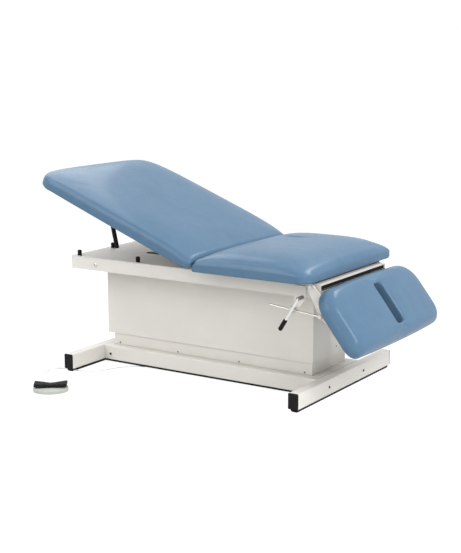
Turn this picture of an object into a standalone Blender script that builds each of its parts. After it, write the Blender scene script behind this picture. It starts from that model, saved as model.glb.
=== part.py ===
"""Powered examination table: a three-section padded top on a telescoping, covered base.

Metres, +Z up, +X towards the foot end, -Y towards the side where the foot pedal lies.
The sizes below are measured from the middle of the base on the floor. The last step moves
the whole table so that its origin lies under the middle of its box.
"""
import math

import bmesh
import bpy
from mathutils import Matrix, Vector

# Fits between pieces
GAP = 0.0003            # faces that touch
PIN_FIT = 0.0003        # a pin in its hole, on the radius
PLATE_RUN = 0.0015      # beside a plate that turns
SLIDE_FIT = 0.0008      # between the telescoping tubes
THROUGH = 1.0           # half the length of a cutter that goes right through

# Base frame
FOOT_STRIP_H = 0.0145
FOOT_STRIP_W = 0.040
FOOT_STRIP_ROUND = 0.010
FOOT_STRIP_SETBACK = 0.010
BAR_W = 0.050
BAR_H = 0.072
BAR_WALL = 0.003
BAR_ROUND = 0.005
BASE_LENGTH = 1.298
CROSSBAR_LENGTH = 0.912
RAIL_SPAN = 0.412
CAP_T = 0.004
CAP_PLUG = 0.018
CAP_PLUG_ROUND = 0.003
FLOOR_PLATE_T = 0.004

# Telescoping covers and lift
COVER_WALL = 0.002
COVER_HEAD_INSET = 0.044      # end of the base to the upper cover
COVER_FOOT_INSET = 0.089
UPPER_COVER_HALF = 0.165
UPPER_COVER_BOTTOM = 0.143
COVER_CLEAR = 0.004
LOWER_COVER_INSET = 0.035
COVER_OVERLAP = 0.030
LIFT_TRAVEL = 0.300
COLUMN_HEAD_INSET = 0.090     # end of the upper cover to the column's middle
COLUMN_FOOT_INSET = 0.060
COLUMN_W = 0.090
COLUMN_WALL = 0.004
COLUMN_ROUND = 0.005
COLUMN_INNER_ROUND = 0.003
COLUMN_TOP = 0.500
COLUMN_FLOOR_CLEAR = 0.014

# Control box and the gland of the pedal cord
CONTROL_BOX = (0.220, 0.140, 0.070)
CONTROL_BOX_X = 0.230
CONTROL_BOX_EDGE = 0.003
GLAND_X = -0.240
GLAND_Y = 0.0
GLAND_R = 0.009
GLAND_H = 0.018
GLAND_HOLE_R = 0.007

# Deck
DECK_HEAD = -0.703
DECK_FOOT = 0.676
DECK_HALF = 0.316
DECK_TOP = 0.5443
DECK_DEPTH = 0.062
SHEET = 0.003
RAIL_LIP = 0.020
FOOT_CHANNEL_DEPTH = 0.036
FOOT_CHANNEL_H = 0.024
SLOT_HEAD = -0.445
SLOT_FOOT = -0.030
SLOT_W = 0.045
BUMPER_R = 0.0105
BUMPER_EDGE = 0.003
BUMPER_HEAD_X = -0.665
BUMPER_MID_X = -0.312
BUMPER_SIDE_INSET = 0.014
BUMPER_CENTRE_Y = -0.040

# Padded sections
PAD_HALF = 0.432
PAD_CROWN = 0.010
PAD_CROWN_REACH = 0.130
PAD_CROWN_MOST = 0.75        # share of the half width that the crown may take up
PAD_CROWN_STEPS = ((0.27, 0.5), (0.58, 0.85), (1.0, 1.0))    # shares of the reach and of the rise
PAD_WIDEST = 0.55            # share of the thickness where the side stands out most
PAD_CORNER_LEAST = 0.006
PAD_TOP_ROUND = 0.026
PAD_DRAW_IN = 0.004
BOARD_T = 0.015
BOARD_INSET = 0.014
SEAT_HEAD = 0.084
SEAT_FOOT = 0.672
SEAT_PAD_T = 0.0765
SEAT_RISER_T = 0.0124
SEAT_RISER_HALF = 0.290
SEAT_CORNER = 0.095
SEAT_HEAD_CORNER = 0.020
SEAT_BOTTOM_ROUND = 0.010

# Backrest and its hinge
BACK_HINGE_X = 0.050
BACK_PAD_T = 0.0612
BACK_REACH = 0.918
BACK_CORNER = 0.110
BACK_BOTTOM_ROUND = 0.010
BACK_ANGLE = math.radians(21.0)
BACK_BOARD_FOOT = 0.040
HINGE_Y = 0.275
HINGE_PLATE_T = 0.005
HINGE_PIN_R = 0.006
HINGE_BOSS_R = 0.0125
HINGE_POCKET_W = 0.038
HINGE_POCKET_HEAD = 0.034
HINGE_POCKET_TOP = 0.0175
HINGE_PLATE_HALF = 0.016
HINGE_FLANGE_W = 0.030
HINGE_FLANGE_HALF = 0.032
HINGE_FLANGE_T = 0.004
HINGE_ARM_LENGTH = 0.170
HINGE_ARM_H = 0.021

# Gas spring and its release handle
GAS_Y = -0.048
GAS_ARM_LENGTH = 0.400                       # hinge to either pivot: equal, so it turns at half rate
GAS_LOW_ANGLE = math.radians(80.0)           # lower pivot, below level towards the head
GAS_PIVOT_DROP = 0.046                       # upper pivot below the hinge line
GAS_CYLINDER_LENGTH = 0.400
GAS_CYLINDER_R = 0.011
GAS_BORE_R = 0.0056
GAS_BORE_START = 0.050
GAS_ROD_R = 0.005
GAS_ROD_LENGTH = 0.410
GAS_EYE_R = 0.012
GAS_EYE_W = 0.014
GAS_PIN_R = 0.006
GAS_PLATE_T = 0.006
GAS_PLATE_OFFSET = 0.0165                    # spring's middle to the near face of its plate
GAS_HANGER_HALF = 0.020
RELEASE_X = -0.505                           # shaft, along the backrest from the hinge
RELEASE_DROP = 0.0475                        # shaft below the hinge line
RELEASE_R = 0.004
RELEASE_BOSS_R = 0.007
RELEASE_BEND = 0.012
RELEASE_END_Y = -0.335
RELEASE_FINGER = 0.075
RELEASE_ARM = (0.0733, -0.1087)              # shaft to the tip of the grip, backrest level
RELEASE_GRIP_R = 0.0095
RELEASE_GRIP_LENGTH = 0.085
RELEASE_PLATE_GAP = 0.034                    # between the two plates that carry the shaft

# Drop section and its support
DROP_HINGE_X = 0.632
DROP_HINGE_Z = 0.530
DROP_ANGLE = math.radians(52.0)
DROP_PAD_START = 0.056
DROP_PAD_END = 0.366
DROP_PAD_RISE = 0.024
DROP_PAD_T = 0.061
DROP_CORNER = 0.085
DROP_CROWN = 0.016
DROP_BOTTOM_ROUND = 0.010
DROP_BOARD_INSET = 0.029
NOSE_SLOT_START = 0.110
NOSE_SLOT_END = 0.312
NOSE_SLOT_W = 0.070
NOSE_SLOT_ROUND = 0.018
DROP_ROD_R = 0.006
DROP_HEAD_R = 0.010
DROP_HEAD_T = 0.005
DROP_ARM_T = 0.005
DROP_BOSS_R = 0.018
DROP_ARM_START = 0.086
DROP_ARM_END = 0.300
DROP_ARM_TIP_H = 0.014
DROP_FLANGE_W = 0.033
DROP_FLANGE_T = 0.003
SUPPORT_ARM_LENGTH = 0.133                   # hinge to either pivot of the support: equal
SUPPORT_LUG_ANGLE = math.radians(13.0)       # lug behind the drop section's hinge line
SUPPORT_LUG_R = 0.012
SWIVEL_ANGLE = math.radians(53.0)            # swivel, below level towards the head
SUPPORT_ROD_R = 0.005
SUPPORT_ROD_LENGTH = 0.250
SUPPORT_EYE_R = 0.009
SUPPORT_EYE_W = 0.016
SUPPORT_PIN_R = 0.004
SWIVEL_SIZE = (0.024, 0.021, 0.028)
SWIVEL_PIN_R = 0.006
SWIVEL_EDGE = 0.003
CLAMP_PLATE_T = 0.005
CLAMP_PLATE_R = 0.014
CLAMP_PLATE_TOP = 0.532
LEVER_HUB = (0.590, 0.482)
LEVER_TIP = (0.500, 0.335)
LEVER_HUB_R = 0.011
LEVER_BAR_R = 0.005
LEVER_GRIP_R = 0.009
LEVER_GRIP_LENGTH = 0.055
LEVER_GRIP_END = 0.0035
LEVER_RUN = 0.003

# Foot pedal
PEDAL_X = -0.483
PEDAL_Y = -0.750
PEDAL_TURN = math.radians(36.0)
PEDAL_LENGTH = 0.162
PEDAL_DEPTH = 0.144
PEDAL_H = 0.018
PEDAL_EDGE = 0.003
PEDAL_SIDES = 40
ROCKER_LENGTH = 0.150
ROCKER_HALF = 0.034
ROCKER_WAIST = 0.010
ROCKER_T = 0.014
ROCKER_RISE = 0.007
ROCKER_SADDLE_R = 0.005
ROCKER_STATIONS = 12
RELIEF_R = 0.006
RELIEF_LENGTH = 0.014
RELIEF_OFFSET = -0.045
RELIEF_Z = 0.009

# Pedal cord: its points on the floor are chosen by hand
CORD_R = 0.003
CORD_FLOOR_POINTS = [
    (-0.597, -0.665), (-0.650, -0.606), (-0.687, -0.554), (-0.7095, -0.508), (-0.716, -0.462),
    (-0.690, -0.431), (-0.640, -0.424), (-0.570, -0.418), (-0.505, -0.372), (-0.475, -0.300),
    (-0.430, -0.230), (-0.350, -0.175), (-0.285, -0.110), (-0.255, -0.045),
]
CORD_NOTCH_Y = -0.425
CORD_NOTCH_W = 0.030
CORD_NOTCH_H = 0.010

# Levels and places that follow from the sizes above
BAR_BOTTOM = FOOT_STRIP_H + GAP
BAR_TOP = BAR_BOTTOM + BAR_H
RAIL_INNER = RAIL_SPAN / 2 - BAR_W
UPPER_COVER_HEAD = -BASE_LENGTH / 2 + COVER_HEAD_INSET
UPPER_COVER_FOOT = BASE_LENGTH / 2 - COVER_FOOT_INSET
COLUMN_HEAD_X = UPPER_COVER_HEAD + COLUMN_HEAD_INSET
COLUMN_FOOT_X = UPPER_COVER_FOOT - COLUMN_FOOT_INSET
CROSSBAR_INNER = BASE_LENGTH / 2 - BAR_W
LOWER_COVER_TOP = UPPER_COVER_BOTTOM + LIFT_TRAVEL + COVER_OVERLAP
LOWER_COVER_HALF = UPPER_COVER_HALF - COVER_WALL - COVER_CLEAR
LOWER_COVER_HEAD = UPPER_COVER_HEAD + LOWER_COVER_INSET
LOWER_COVER_FOOT = UPPER_COVER_FOOT - COVER_WALL - COVER_CLEAR
DECK_UNDER = DECK_TOP - SHEET
DECK_BOTTOM = DECK_TOP - DECK_DEPTH
SEAT_BOTTOM = DECK_TOP + GAP + SEAT_RISER_T
SEAT_TOP = SEAT_BOTTOM + SEAT_PAD_T
BACK_HINGE_Z = SEAT_TOP - BACK_PAD_T / 2
BACK_UNDER = -BACK_PAD_T / 2
BACK_HINGE = (BACK_HINGE_X, BACK_HINGE_Z)
DROP_HINGE = (DROP_HINGE_X, DROP_HINGE_Z)
DROP_ARM_Y = DECK_HALF + GAP + CLAMP_PLATE_T + PLATE_RUN
DROP_ARM_OUTER = DROP_ARM_Y + DROP_ARM_T
SWIVEL_NEAR_Y = DROP_ARM_OUTER + PLATE_RUN
SUPPORT_Y = SWIVEL_NEAR_Y + SWIVEL_SIZE[1] / 2
SWIVEL_FAR_Y = SWIVEL_NEAR_Y + SWIVEL_SIZE[1]
LEVER_Y = SWIVEL_FAR_Y + LEVER_RUN + LEVER_BAR_R
GAS_PLATE_FACE = GAS_Y - GAS_PLATE_OFFSET
RELIEF_EDGE = PEDAL_DEPTH / 2 * math.sqrt(1 - (2 * RELIEF_OFFSET / PEDAL_LENGTH) ** 2)

FINISHES = {
    "vinyl": ((0.17, 0.30, 0.42), 0.45, 0.0),
    "enamel": ((0.70, 0.68, 0.64), 0.40, 0.0),
    "deck": ((0.42, 0.42, 0.40), 0.40, 0.2),
    "rubber": ((0.015, 0.015, 0.016), 0.65, 0.0),
    "steel": ((0.55, 0.56, 0.57), 0.25, 1.0),
    "plywood": ((0.45, 0.32, 0.19), 0.70, 0.0),
    "plastic": ((0.50, 0.53, 0.47), 0.50, 0.0),
    "cord": ((0.78, 0.78, 0.75), 0.55, 0.0),
}


def material(finish):
    """Return the named finish as a material, made the first time it is asked for."""
    found = bpy.data.materials.get(finish)
    if found:
        return found
    colour, roughness, metallic = FINISHES[finish]
    made = bpy.data.materials.new(finish)
    made.use_nodes = True
    shader = made.node_tree.nodes["Principled BSDF"]
    shader.inputs["Base Color"].default_value = (*colour, 1.0)
    shader.inputs["Roughness"].default_value = roughness
    shader.inputs["Metallic"].default_value = metallic
    return made


def empty(name, place, turn=0.0, axis="Y"):
    """Add an empty at a joint or a sub-assembly, turned about one axis, under the table's own."""
    made = bpy.data.objects.new(name, None)
    made.location = place
    made.rotation_euler["XYZ".index(axis)] = turn
    made.empty_display_size = 0.05
    if name != "table":
        made.parent = bpy.data.objects["table"]
    bpy.context.scene.collection.objects.link(made)
    return made


def node(name, shape, finish, parent, sharp=35.0):
    """Make a named object from a bmesh drawn in its parent empty's frame."""
    bmesh.ops.remove_doubles(shape, verts=shape.verts, dist=1e-6)
    bmesh.ops.recalc_face_normals(shape, faces=shape.faces)
    mesh = bpy.data.meshes.new(name)
    shape.to_mesh(mesh)
    shape.free()
    mesh.shade_smooth()
    mesh.set_sharp_from_angle(angle=math.radians(sharp))
    mesh.materials.append(material(finish))
    made = bpy.data.objects.new(name, mesh)
    made.parent = parent
    bpy.context.scene.collection.objects.link(made)
    return made


def box(x0, x1, y0, y1, z0, z1):
    """Return a plain box between two corners."""
    shape = bmesh.new()
    size = Matrix.Diagonal((x1 - x0, y1 - y0, z1 - z0, 1.0))
    middle = Matrix.Translation(((x0 + x1) / 2, (y0 + y1) / 2, (z0 + z1) / 2))
    bmesh.ops.create_cube(shape, size=1.0, matrix=middle @ size)
    return shape


def prism(outline, axis, low, high):
    """Extrude a flat outline along X, Y or Z; the outline gives the two other coordinates."""
    def place(point, along):
        first, second = point
        return {"X": (along, first, second), "Y": (first, along, second), "Z": (first, second, along)}[axis]

    shape = bmesh.new()
    bottom = [shape.verts.new(place(point, low)) for point in outline]
    top = [shape.verts.new(place(point, high)) for point in outline]
    shape.faces.new(bottom)
    shape.faces.new(top)
    for index in range(len(outline)):
        after = (index + 1) % len(outline)
        shape.faces.new((bottom[index], bottom[after], top[after], top[index]))
    bmesh.ops.recalc_face_normals(shape, faces=shape.faces)
    return shape


def arc(centre, radius, start, end, steps):
    """Return points along an arc, angles in degrees."""
    angles = [math.radians(start + (end - start) * step / steps) for step in range(steps + 1)]
    return [(centre[0] + radius * math.cos(a), centre[1] + radius * math.sin(a)) for a in angles]


def circle(centre, radius, sides):
    """Return a closed ring of points."""
    return arc(centre, radius, 0.0, 360.0, sides)[:-1]


def rounded_rectangle(x0, x1, y0, y1, radii, steps=5):
    """Return an outline with its own radius at each corner: foot far, head far, head near, foot near."""
    corners = ((x1, y1, -1, -1, 0), (x0, y1, 1, -1, 90), (x0, y0, 1, 1, 180), (x1, y0, -1, 1, 270))
    points = []
    for (x, y, in_x, in_y, start), radius in zip(corners, radii):
        points += arc((x + in_x * radius, y + in_y * radius), radius, start, start + 90, steps)
    return points


def stadium(x0, x1, y, width, steps=8):
    """Return a long hole's outline with round ends, along X."""
    radius = width / 2
    return arc((x1 - radius, y), radius, -90, 90, steps) + arc((x0 + radius, y), radius, 90, 270, steps)


def hull(points):
    """Return the convex outline round a set of points."""
    ordered = sorted(set(points))

    def chain(sequence):
        kept = []
        for p in sequence:
            while len(kept) > 1 and _turn(kept[-2], kept[-1], p) <= 1e-12:
                kept.pop()
            kept.append(p)
        return kept[:-1]

    return chain(ordered) + chain(ordered[::-1])


def _turn(a, b, c):
    return (b[0] - a[0]) * (c[1] - a[1]) - (b[1] - a[1]) * (c[0] - a[0])


def cylinder(axis, centre, low, high, radius, sides=24):
    """Return a round bar along X, Y or Z."""
    return prism(circle(centre, radius, sides), axis, low, high)


def boolean(first, second, operation):
    """Combine two closed shapes exactly and return the result."""
    pair = []
    for shape in (first, second):
        mesh = bpy.data.meshes.new("draft")
        bmesh.ops.recalc_face_normals(shape, faces=shape.faces)
        shape.to_mesh(mesh)
        shape.free()
        draft = bpy.data.objects.new("draft", mesh)
        bpy.context.scene.collection.objects.link(draft)
        pair.append(draft)
    cut = pair[0].modifiers.new("cut", "BOOLEAN")
    cut.operation = operation
    cut.object = pair[1]
    depsgraph = bpy.context.evaluated_depsgraph_get()
    result = bmesh.new()
    result.from_object(pair[0], depsgraph)
    for draft in pair:
        bpy.data.objects.remove(draft)
    return result


def union(*shapes):
    """Join closed shapes that overlap into one solid."""
    joined = shapes[0]
    for shape in shapes[1:]:
        joined = boolean(joined, shape, "UNION")
    return joined


def cut_out(shape, *cutters):
    """Take closed cutters out of a shape."""
    for cutter in cutters:
        shape = boolean(shape, cutter, "DIFFERENCE")
    return shape


def bevelled(shape, width, pick, segments=2):
    """Round the edges of a shape that a test picks."""
    edges = [edge for edge in shape.edges if pick(edge)]
    bmesh.ops.bevel(shape, geom=edges, offset=width, segments=segments, profile=0.5, affect="EDGES")
    return shape


def square_tube(axis, low, high, across, height, middle, wall, rounding):
    """Return an open tube of rounded rectangular section along X, Y or Z."""
    outer = rounded_rectangle(middle[0] - across / 2, middle[0] + across / 2,
                              middle[1] - height / 2, middle[1] + height / 2, [rounding] * 4, 3)
    inner_round = max(rounding - wall, GAP)
    inner = rounded_rectangle(middle[0] - across / 2 + wall, middle[0] + across / 2 - wall,
                              middle[1] - height / 2 + wall, middle[1] + height / 2 - wall,
                              [inner_round] * 4, 3)
    rings = []
    shape = bmesh.new()
    for outline, along in ((outer, low), (outer, high), (inner, high), (inner, low)):
        rings.append(prism_ring(shape, outline, axis, along))
    bridge_rings(shape, rings + rings[:1])
    return shape


def prism_ring(shape, outline, axis, along):
    """Add one ring of points of an outline at a place along an axis."""
    order = {"X": (2, 0, 1), "Y": (0, 2, 1), "Z": (0, 1, 2)}[axis]
    ring = []
    for first, second in outline:
        values = (first, second, along)
        ring.append(shape.verts.new([values[index] for index in order]))
    return ring


def bridge_rings(shape, rings):
    """Skin between neighbouring rings that have the same number of points."""
    for lower, upper in zip(rings, rings[1:]):
        for index in range(len(lower)):
            after = (index + 1) % len(lower)
            shape.faces.new((lower[index], lower[after], upper[after], upper[index]))


def sweep(points, radius, sides=10):
    """Return a round bar with closed ends along a line of points."""
    path = [Vector(point) for point in points]
    shape = bmesh.new()
    rings = []
    side = (path[1] - path[0]).orthogonal().normalized()
    for index, place in enumerate(path):
        before = path[max(index - 1, 0)]
        after = path[min(index + 1, len(path) - 1)]
        forward = (after - before).normalized()
        side = (side - forward * side.dot(forward)).normalized()
        other = forward.cross(side)
        angles = [2 * math.pi * step / sides for step in range(sides)]
        spokes = [side * math.cos(angle) + other * math.sin(angle) for angle in angles]
        rings.append([shape.verts.new(place + radius * spoke) for spoke in spokes])
    bridge_rings(shape, rings)
    shape.faces.new(rings[0])
    shape.faces.new(rings[-1])
    bmesh.ops.recalc_face_normals(shape, faces=shape.faces)
    return shape


def bent_path(corners, bend, steps=5):
    """Return a line of points through corners, each corner rounded by a bend radius."""
    path = [Vector(corners[0])]
    for before, corner, after in zip(corners, corners[1:], corners[2:]):
        corner = Vector(corner)
        into = (Vector(before) - corner).normalized()
        out = (Vector(after) - corner).normalized()
        half = into.angle(out) / 2
        reach = bend / math.tan(half)
        centre = corner + (into + out).normalized() * (bend / math.sin(half))
        start = (corner + into * reach - centre).normalized()
        end = (corner + out * reach - centre).normalized()
        path += [centre + start.slerp(end, step / steps) * bend for step in range(steps + 1)]
    path.append(Vector(corners[-1]))
    return path


def cushion(x0, x1, half, thickness, bottom_round, radii, nose=None, crown=PAD_CROWN):
    """Return a padded section: drawn-in sides, round edges and a crown, its underside at zero height.

    radii are the plan corners: foot far, head far, head near, foot near. With nose set, the end at x1
    is a half round of that radius instead, and its middle lies at x1 - nose.
    """
    profile = []
    for step in range(4):
        angle = math.radians(90 * step / 3)
        inset = PAD_DRAW_IN + bottom_round * (1 - math.sin(angle))
        profile.append((inset, bottom_round * (1 - math.cos(angle))))
    profile.append((0.0, thickness * PAD_WIDEST))
    for step in range(5):
        angle = math.radians(90 * step / 4)
        rise = thickness - PAD_TOP_ROUND * (1 - math.sin(angle))
        profile.append((PAD_DRAW_IN / 2 + PAD_TOP_ROUND * (1 - math.cos(angle)), rise))
    edge_inset = profile[-1][0]
    crown_reach = min(PAD_CROWN_REACH, PAD_CROWN_MOST * (min(half, (x1 - x0) / 2) - edge_inset))
    for spread, share in PAD_CROWN_STEPS:
        profile.append((edge_inset + crown_reach * spread, thickness + crown * share))

    shape = bmesh.new()
    rings = []
    for inset, height in profile:
        foot = x1 - inset
        if nose:
            across = min(abs(height - nose), nose)
            foot = x1 - nose + math.sqrt(nose * nose - across * across)
            foot -= max(inset - edge_inset, 0.0)
        corners = [max(radius - inset, PAD_CORNER_LEAST) for radius in radii]
        outline = rounded_rectangle(x0 + inset, foot, -half + inset, half - inset, corners)
        rings.append([shape.verts.new((x, y, height)) for x, y in outline])
    bridge_rings(shape, rings)
    shape.faces.new(rings[0])
    shape.faces.new(rings[-1])
    bmesh.ops.recalc_face_normals(shape, faces=shape.faces)
    return shape


def lifted(shape, rise):
    """Move a shape up."""
    bmesh.ops.translate(shape, verts=shape.verts, vec=(0.0, 0.0, rise))
    return shape


def base_frame(base):
    """Crossbars with their caps and rubber strips, side rails and the floor plate."""
    middle_z = BAR_BOTTOM + BAR_H / 2
    bar_end = CROSSBAR_LENGTH / 2 - CAP_T - GAP
    for end, side in (("head", -1), ("foot", 1)):
        x = side * (BASE_LENGTH - BAR_W) / 2
        bar = square_tube("Y", -bar_end, bar_end, BAR_W, BAR_H, (x, middle_z), BAR_WALL, BAR_ROUND)
        node(f"{end}_crossbar", bar, "enamel", base)
        strip = foot_strip(x, bar_end - FOOT_STRIP_SETBACK)
        if end == "head":
            notch = box(x - FOOT_STRIP_W, x + FOOT_STRIP_W, CORD_NOTCH_Y - CORD_NOTCH_W / 2,
                        CORD_NOTCH_Y + CORD_NOTCH_W / 2, -CORD_NOTCH_H, CORD_NOTCH_H)
            strip = cut_out(strip, notch)
        node(f"{end}_rubber_strip", strip, "rubber", base)
        for name, y_side in (("near", -1), ("far", 1)):
            node(f"{end}_{name}_end_cap", end_cap(x, middle_z, y_side), "rubber", base)
    rail_end = CROSSBAR_INNER - GAP
    for name, side in (("near", -1), ("far", 1)):
        y = side * (RAIL_SPAN - BAR_W) / 2
        rail = square_tube("X", -rail_end, rail_end, BAR_W, BAR_H, (y, middle_z), BAR_WALL, BAR_ROUND)
        node(f"{name}_side_rail", rail, "enamel", base)
    half = RAIL_INNER - GAP
    plate = box(-rail_end, rail_end, -half, half, BAR_TOP - FLOOR_PLATE_T, BAR_TOP)
    hole = cylinder("Z", (GLAND_X, GLAND_Y), 0.0, 2 * BAR_TOP, GLAND_HOLE_R)
    node("floor_plate", cut_out(plate, hole), "enamel", base)


def foot_strip(x, half_length):
    """Rubber strip under a crossbar, its lower edges rounded."""
    half = FOOT_STRIP_W / 2 - FOOT_STRIP_ROUND
    section = arc((x - half, FOOT_STRIP_ROUND), FOOT_STRIP_ROUND, 180, 270, 4)
    section += arc((x + half, FOOT_STRIP_ROUND), FOOT_STRIP_ROUND, 270, 360, 4)
    section += [(x + FOOT_STRIP_W / 2, FOOT_STRIP_H), (x - FOOT_STRIP_W / 2, FOOT_STRIP_H)]
    return prism(section, "Y", -half_length, half_length)


def end_cap(x, middle_z, side):
    """Moulded cap with a plug that fits the crossbar's bore."""
    inside = CROSSBAR_LENGTH / 2 - CAP_T
    flange = rounded_rectangle(x - BAR_W / 2, x + BAR_W / 2, middle_z - BAR_H / 2, middle_z + BAR_H / 2,
                               [BAR_ROUND] * 4, 3)
    reach = BAR_WALL + GAP
    plug = rounded_rectangle(x - BAR_W / 2 + reach, x + BAR_W / 2 - reach, middle_z - BAR_H / 2 + reach,
                             middle_z + BAR_H / 2 - reach, [CAP_PLUG_ROUND] * 4, 3)
    shape = bmesh.new()
    stations = ((plug, inside - CAP_PLUG), (plug, inside), (flange, inside), (flange, CROSSBAR_LENGTH / 2))
    rings = [prism_ring(shape, outline, "Y", side * along) for outline, along in stations]
    bridge_rings(shape, rings)
    shape.faces.new(rings[0])
    shape.faces.new(rings[-1])
    return shape


def cover(prefix, head, foot, half, bottom, top, parent):
    """Four sheet panels round the lift: the side panels run past the ends of the end panels."""
    inner = half - COVER_WALL
    node(f"{prefix}_near_cover", box(head, foot, -half, -inner, bottom, top), "enamel", parent)
    node(f"{prefix}_far_cover", box(head, foot, inner, half, bottom, top), "enamel", parent)
    width = inner - GAP
    node(f"{prefix}_head_cover", box(head, head + COVER_WALL, -width, width, bottom, top), "enamel", parent)
    node(f"{prefix}_foot_cover", box(foot - COVER_WALL, foot, -width, width, bottom, top), "enamel", parent)


def lift(base, top):
    """Two telescoping columns, the control box, the cord's gland and the two covers."""
    inner_w = COLUMN_W - 2 * COLUMN_WALL - 2 * SLIDE_FIT
    for name, x in (("head", COLUMN_HEAD_X), ("foot", COLUMN_FOOT_X)):
        outer = square_tube("Z", BAR_TOP + GAP, COLUMN_TOP, COLUMN_W, COLUMN_W, (x, 0.0),
                            COLUMN_WALL, COLUMN_ROUND)
        node(f"{name}_column_outer", outer, "steel", base)
        inner = square_tube("Z", BAR_TOP + COLUMN_FLOOR_CLEAR, DECK_UNDER - GAP, inner_w, inner_w, (x, 0.0),
                            COLUMN_WALL, COLUMN_INNER_ROUND)
        node(f"{name}_column_inner", inner, "steel", top)
    length, width, height = CONTROL_BOX
    floor = BAR_TOP + GAP
    housing = box(CONTROL_BOX_X - length / 2, CONTROL_BOX_X + length / 2, -width / 2, width / 2,
                  floor, floor + height)
    node("control_box", bevelled(housing, CONTROL_BOX_EDGE, lambda edge: True), "rubber", base)
    gland_top = BAR_TOP - FLOOR_PLATE_T - GAP
    gland = cylinder("Z", (GLAND_X, GLAND_Y), gland_top - GLAND_H, gland_top, GLAND_R, 6)
    node("cord_gland", gland, "rubber", base)
    cover("lower", LOWER_COVER_HEAD, LOWER_COVER_FOOT, LOWER_COVER_HALF,
          BAR_TOP + GAP, LOWER_COVER_TOP, base)
    cover("upper", UPPER_COVER_HEAD, UPPER_COVER_FOOT, UPPER_COVER_HALF,
          UPPER_COVER_BOTTOM, DECK_UNDER - GAP, top)


def deck(top):
    """Folded top sheet with the gas spring's slot, side rails, foot channel and rubber bumpers."""
    fold = [(DECK_HEAD, DECK_TOP), (DECK_HEAD, DECK_BOTTOM), (DECK_HEAD + SHEET, DECK_BOTTOM),
            (DECK_HEAD + SHEET, DECK_UNDER), (DECK_FOOT, DECK_UNDER), (DECK_FOOT, DECK_TOP)]
    sheet = prism(fold, "Y", -DECK_HALF, DECK_HALF)
    slot = prism(stadium(SLOT_HEAD, SLOT_FOOT, GAS_Y, SLOT_W), "Z", DECK_BOTTOM, DECK_TOP + SHEET)
    node("deck_panel", cut_out(sheet, slot), "deck", top)

    rail_top = DECK_UNDER - GAP
    for name, side in (("near", -1), ("far", 1)):
        web = side * (DECK_HALF - SHEET)
        lip = side * (DECK_HALF - RAIL_LIP)
        outer = side * DECK_HALF
        angle = [(outer, rail_top), (outer, DECK_BOTTOM), (lip, DECK_BOTTOM), (lip, DECK_BOTTOM + SHEET),
                 (web, DECK_BOTTOM + SHEET), (web, rail_top)]
        rail = prism(angle, "X", DECK_HEAD + SHEET + GAP, DECK_FOOT)
        hole = cylinder("Y", DROP_HINGE, -THROUGH, THROUGH, DROP_ROD_R + PIN_FIT)
        node(f"{name}_deck_rail", cut_out(rail, hole), "enamel", top)

    back = DECK_FOOT - FOOT_CHANNEL_DEPTH
    low = rail_top - FOOT_CHANNEL_H
    channel = [(DECK_FOOT, rail_top), (back, rail_top), (back, low), (DECK_FOOT, low),
               (DECK_FOOT, low + SHEET), (back + SHEET, low + SHEET),
               (back + SHEET, rail_top - SHEET), (DECK_FOOT, rail_top - SHEET)]
    half = DECK_HALF - SHEET - GAP
    node("foot_channel", prism(channel, "Y", -half, half), "enamel", top)

    height = BACK_HINGE_Z + BACK_UNDER - DECK_TOP - 2 * GAP
    side = DECK_HALF - BUMPER_SIDE_INSET
    places = {"head_near": (BUMPER_HEAD_X, -side), "head_far": (BUMPER_HEAD_X, side),
              "head_centre": (BUMPER_HEAD_X, BUMPER_CENTRE_Y),
              "mid_near": (BUMPER_MID_X, -side), "mid_far": (BUMPER_MID_X, side)}
    for name, place in places.items():
        foot = DECK_TOP + GAP
        shape = cylinder("Z", place, foot, foot + height, BUMPER_R, 16)
        crown = foot + height - GAP
        bevelled(shape, BUMPER_EDGE, lambda edge: all(v.co.z > crown for v in edge.verts))
        node(f"{name}_bumper", shape, "rubber", top)


def seat(top):
    """Seat board on its riser, with the fixed pad that wraps the board's edge."""
    head = SEAT_HEAD + BOARD_INSET
    foot = SEAT_FOOT - BOARD_INSET
    half = PAD_HALF - BOARD_INSET
    corner = SEAT_CORNER - BOARD_INSET
    radii = [corner, SEAT_HEAD_CORNER, SEAT_HEAD_CORNER, corner]
    plan = rounded_rectangle(head, foot, -half, half, radii)
    board = prism(plan, "Z", SEAT_BOTTOM, SEAT_BOTTOM + BOARD_T)
    riser = box(head + BOARD_INSET, foot - BOARD_INSET, -SEAT_RISER_HALF, SEAT_RISER_HALF,
                DECK_TOP + GAP, SEAT_BOTTOM + BOARD_T / 2)
    node("seat_board", union(board, riser), "plywood", top)

    pad_radii = [SEAT_CORNER, SEAT_HEAD_CORNER, SEAT_HEAD_CORNER, SEAT_CORNER]
    pad = cushion(SEAT_HEAD, SEAT_FOOT, PAD_HALF, SEAT_PAD_T, SEAT_BOTTOM_ROUND, pad_radii)
    grown = [radius + GAP for radius in radii]
    pocket = prism(rounded_rectangle(head - GAP, foot + GAP, -half - GAP, half + GAP, grown), "Z",
                   -BOARD_T, BOARD_T + GAP)
    node("seat_pad", lifted(cut_out(pad, pocket), SEAT_BOTTOM), "vinyl", top)


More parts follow.
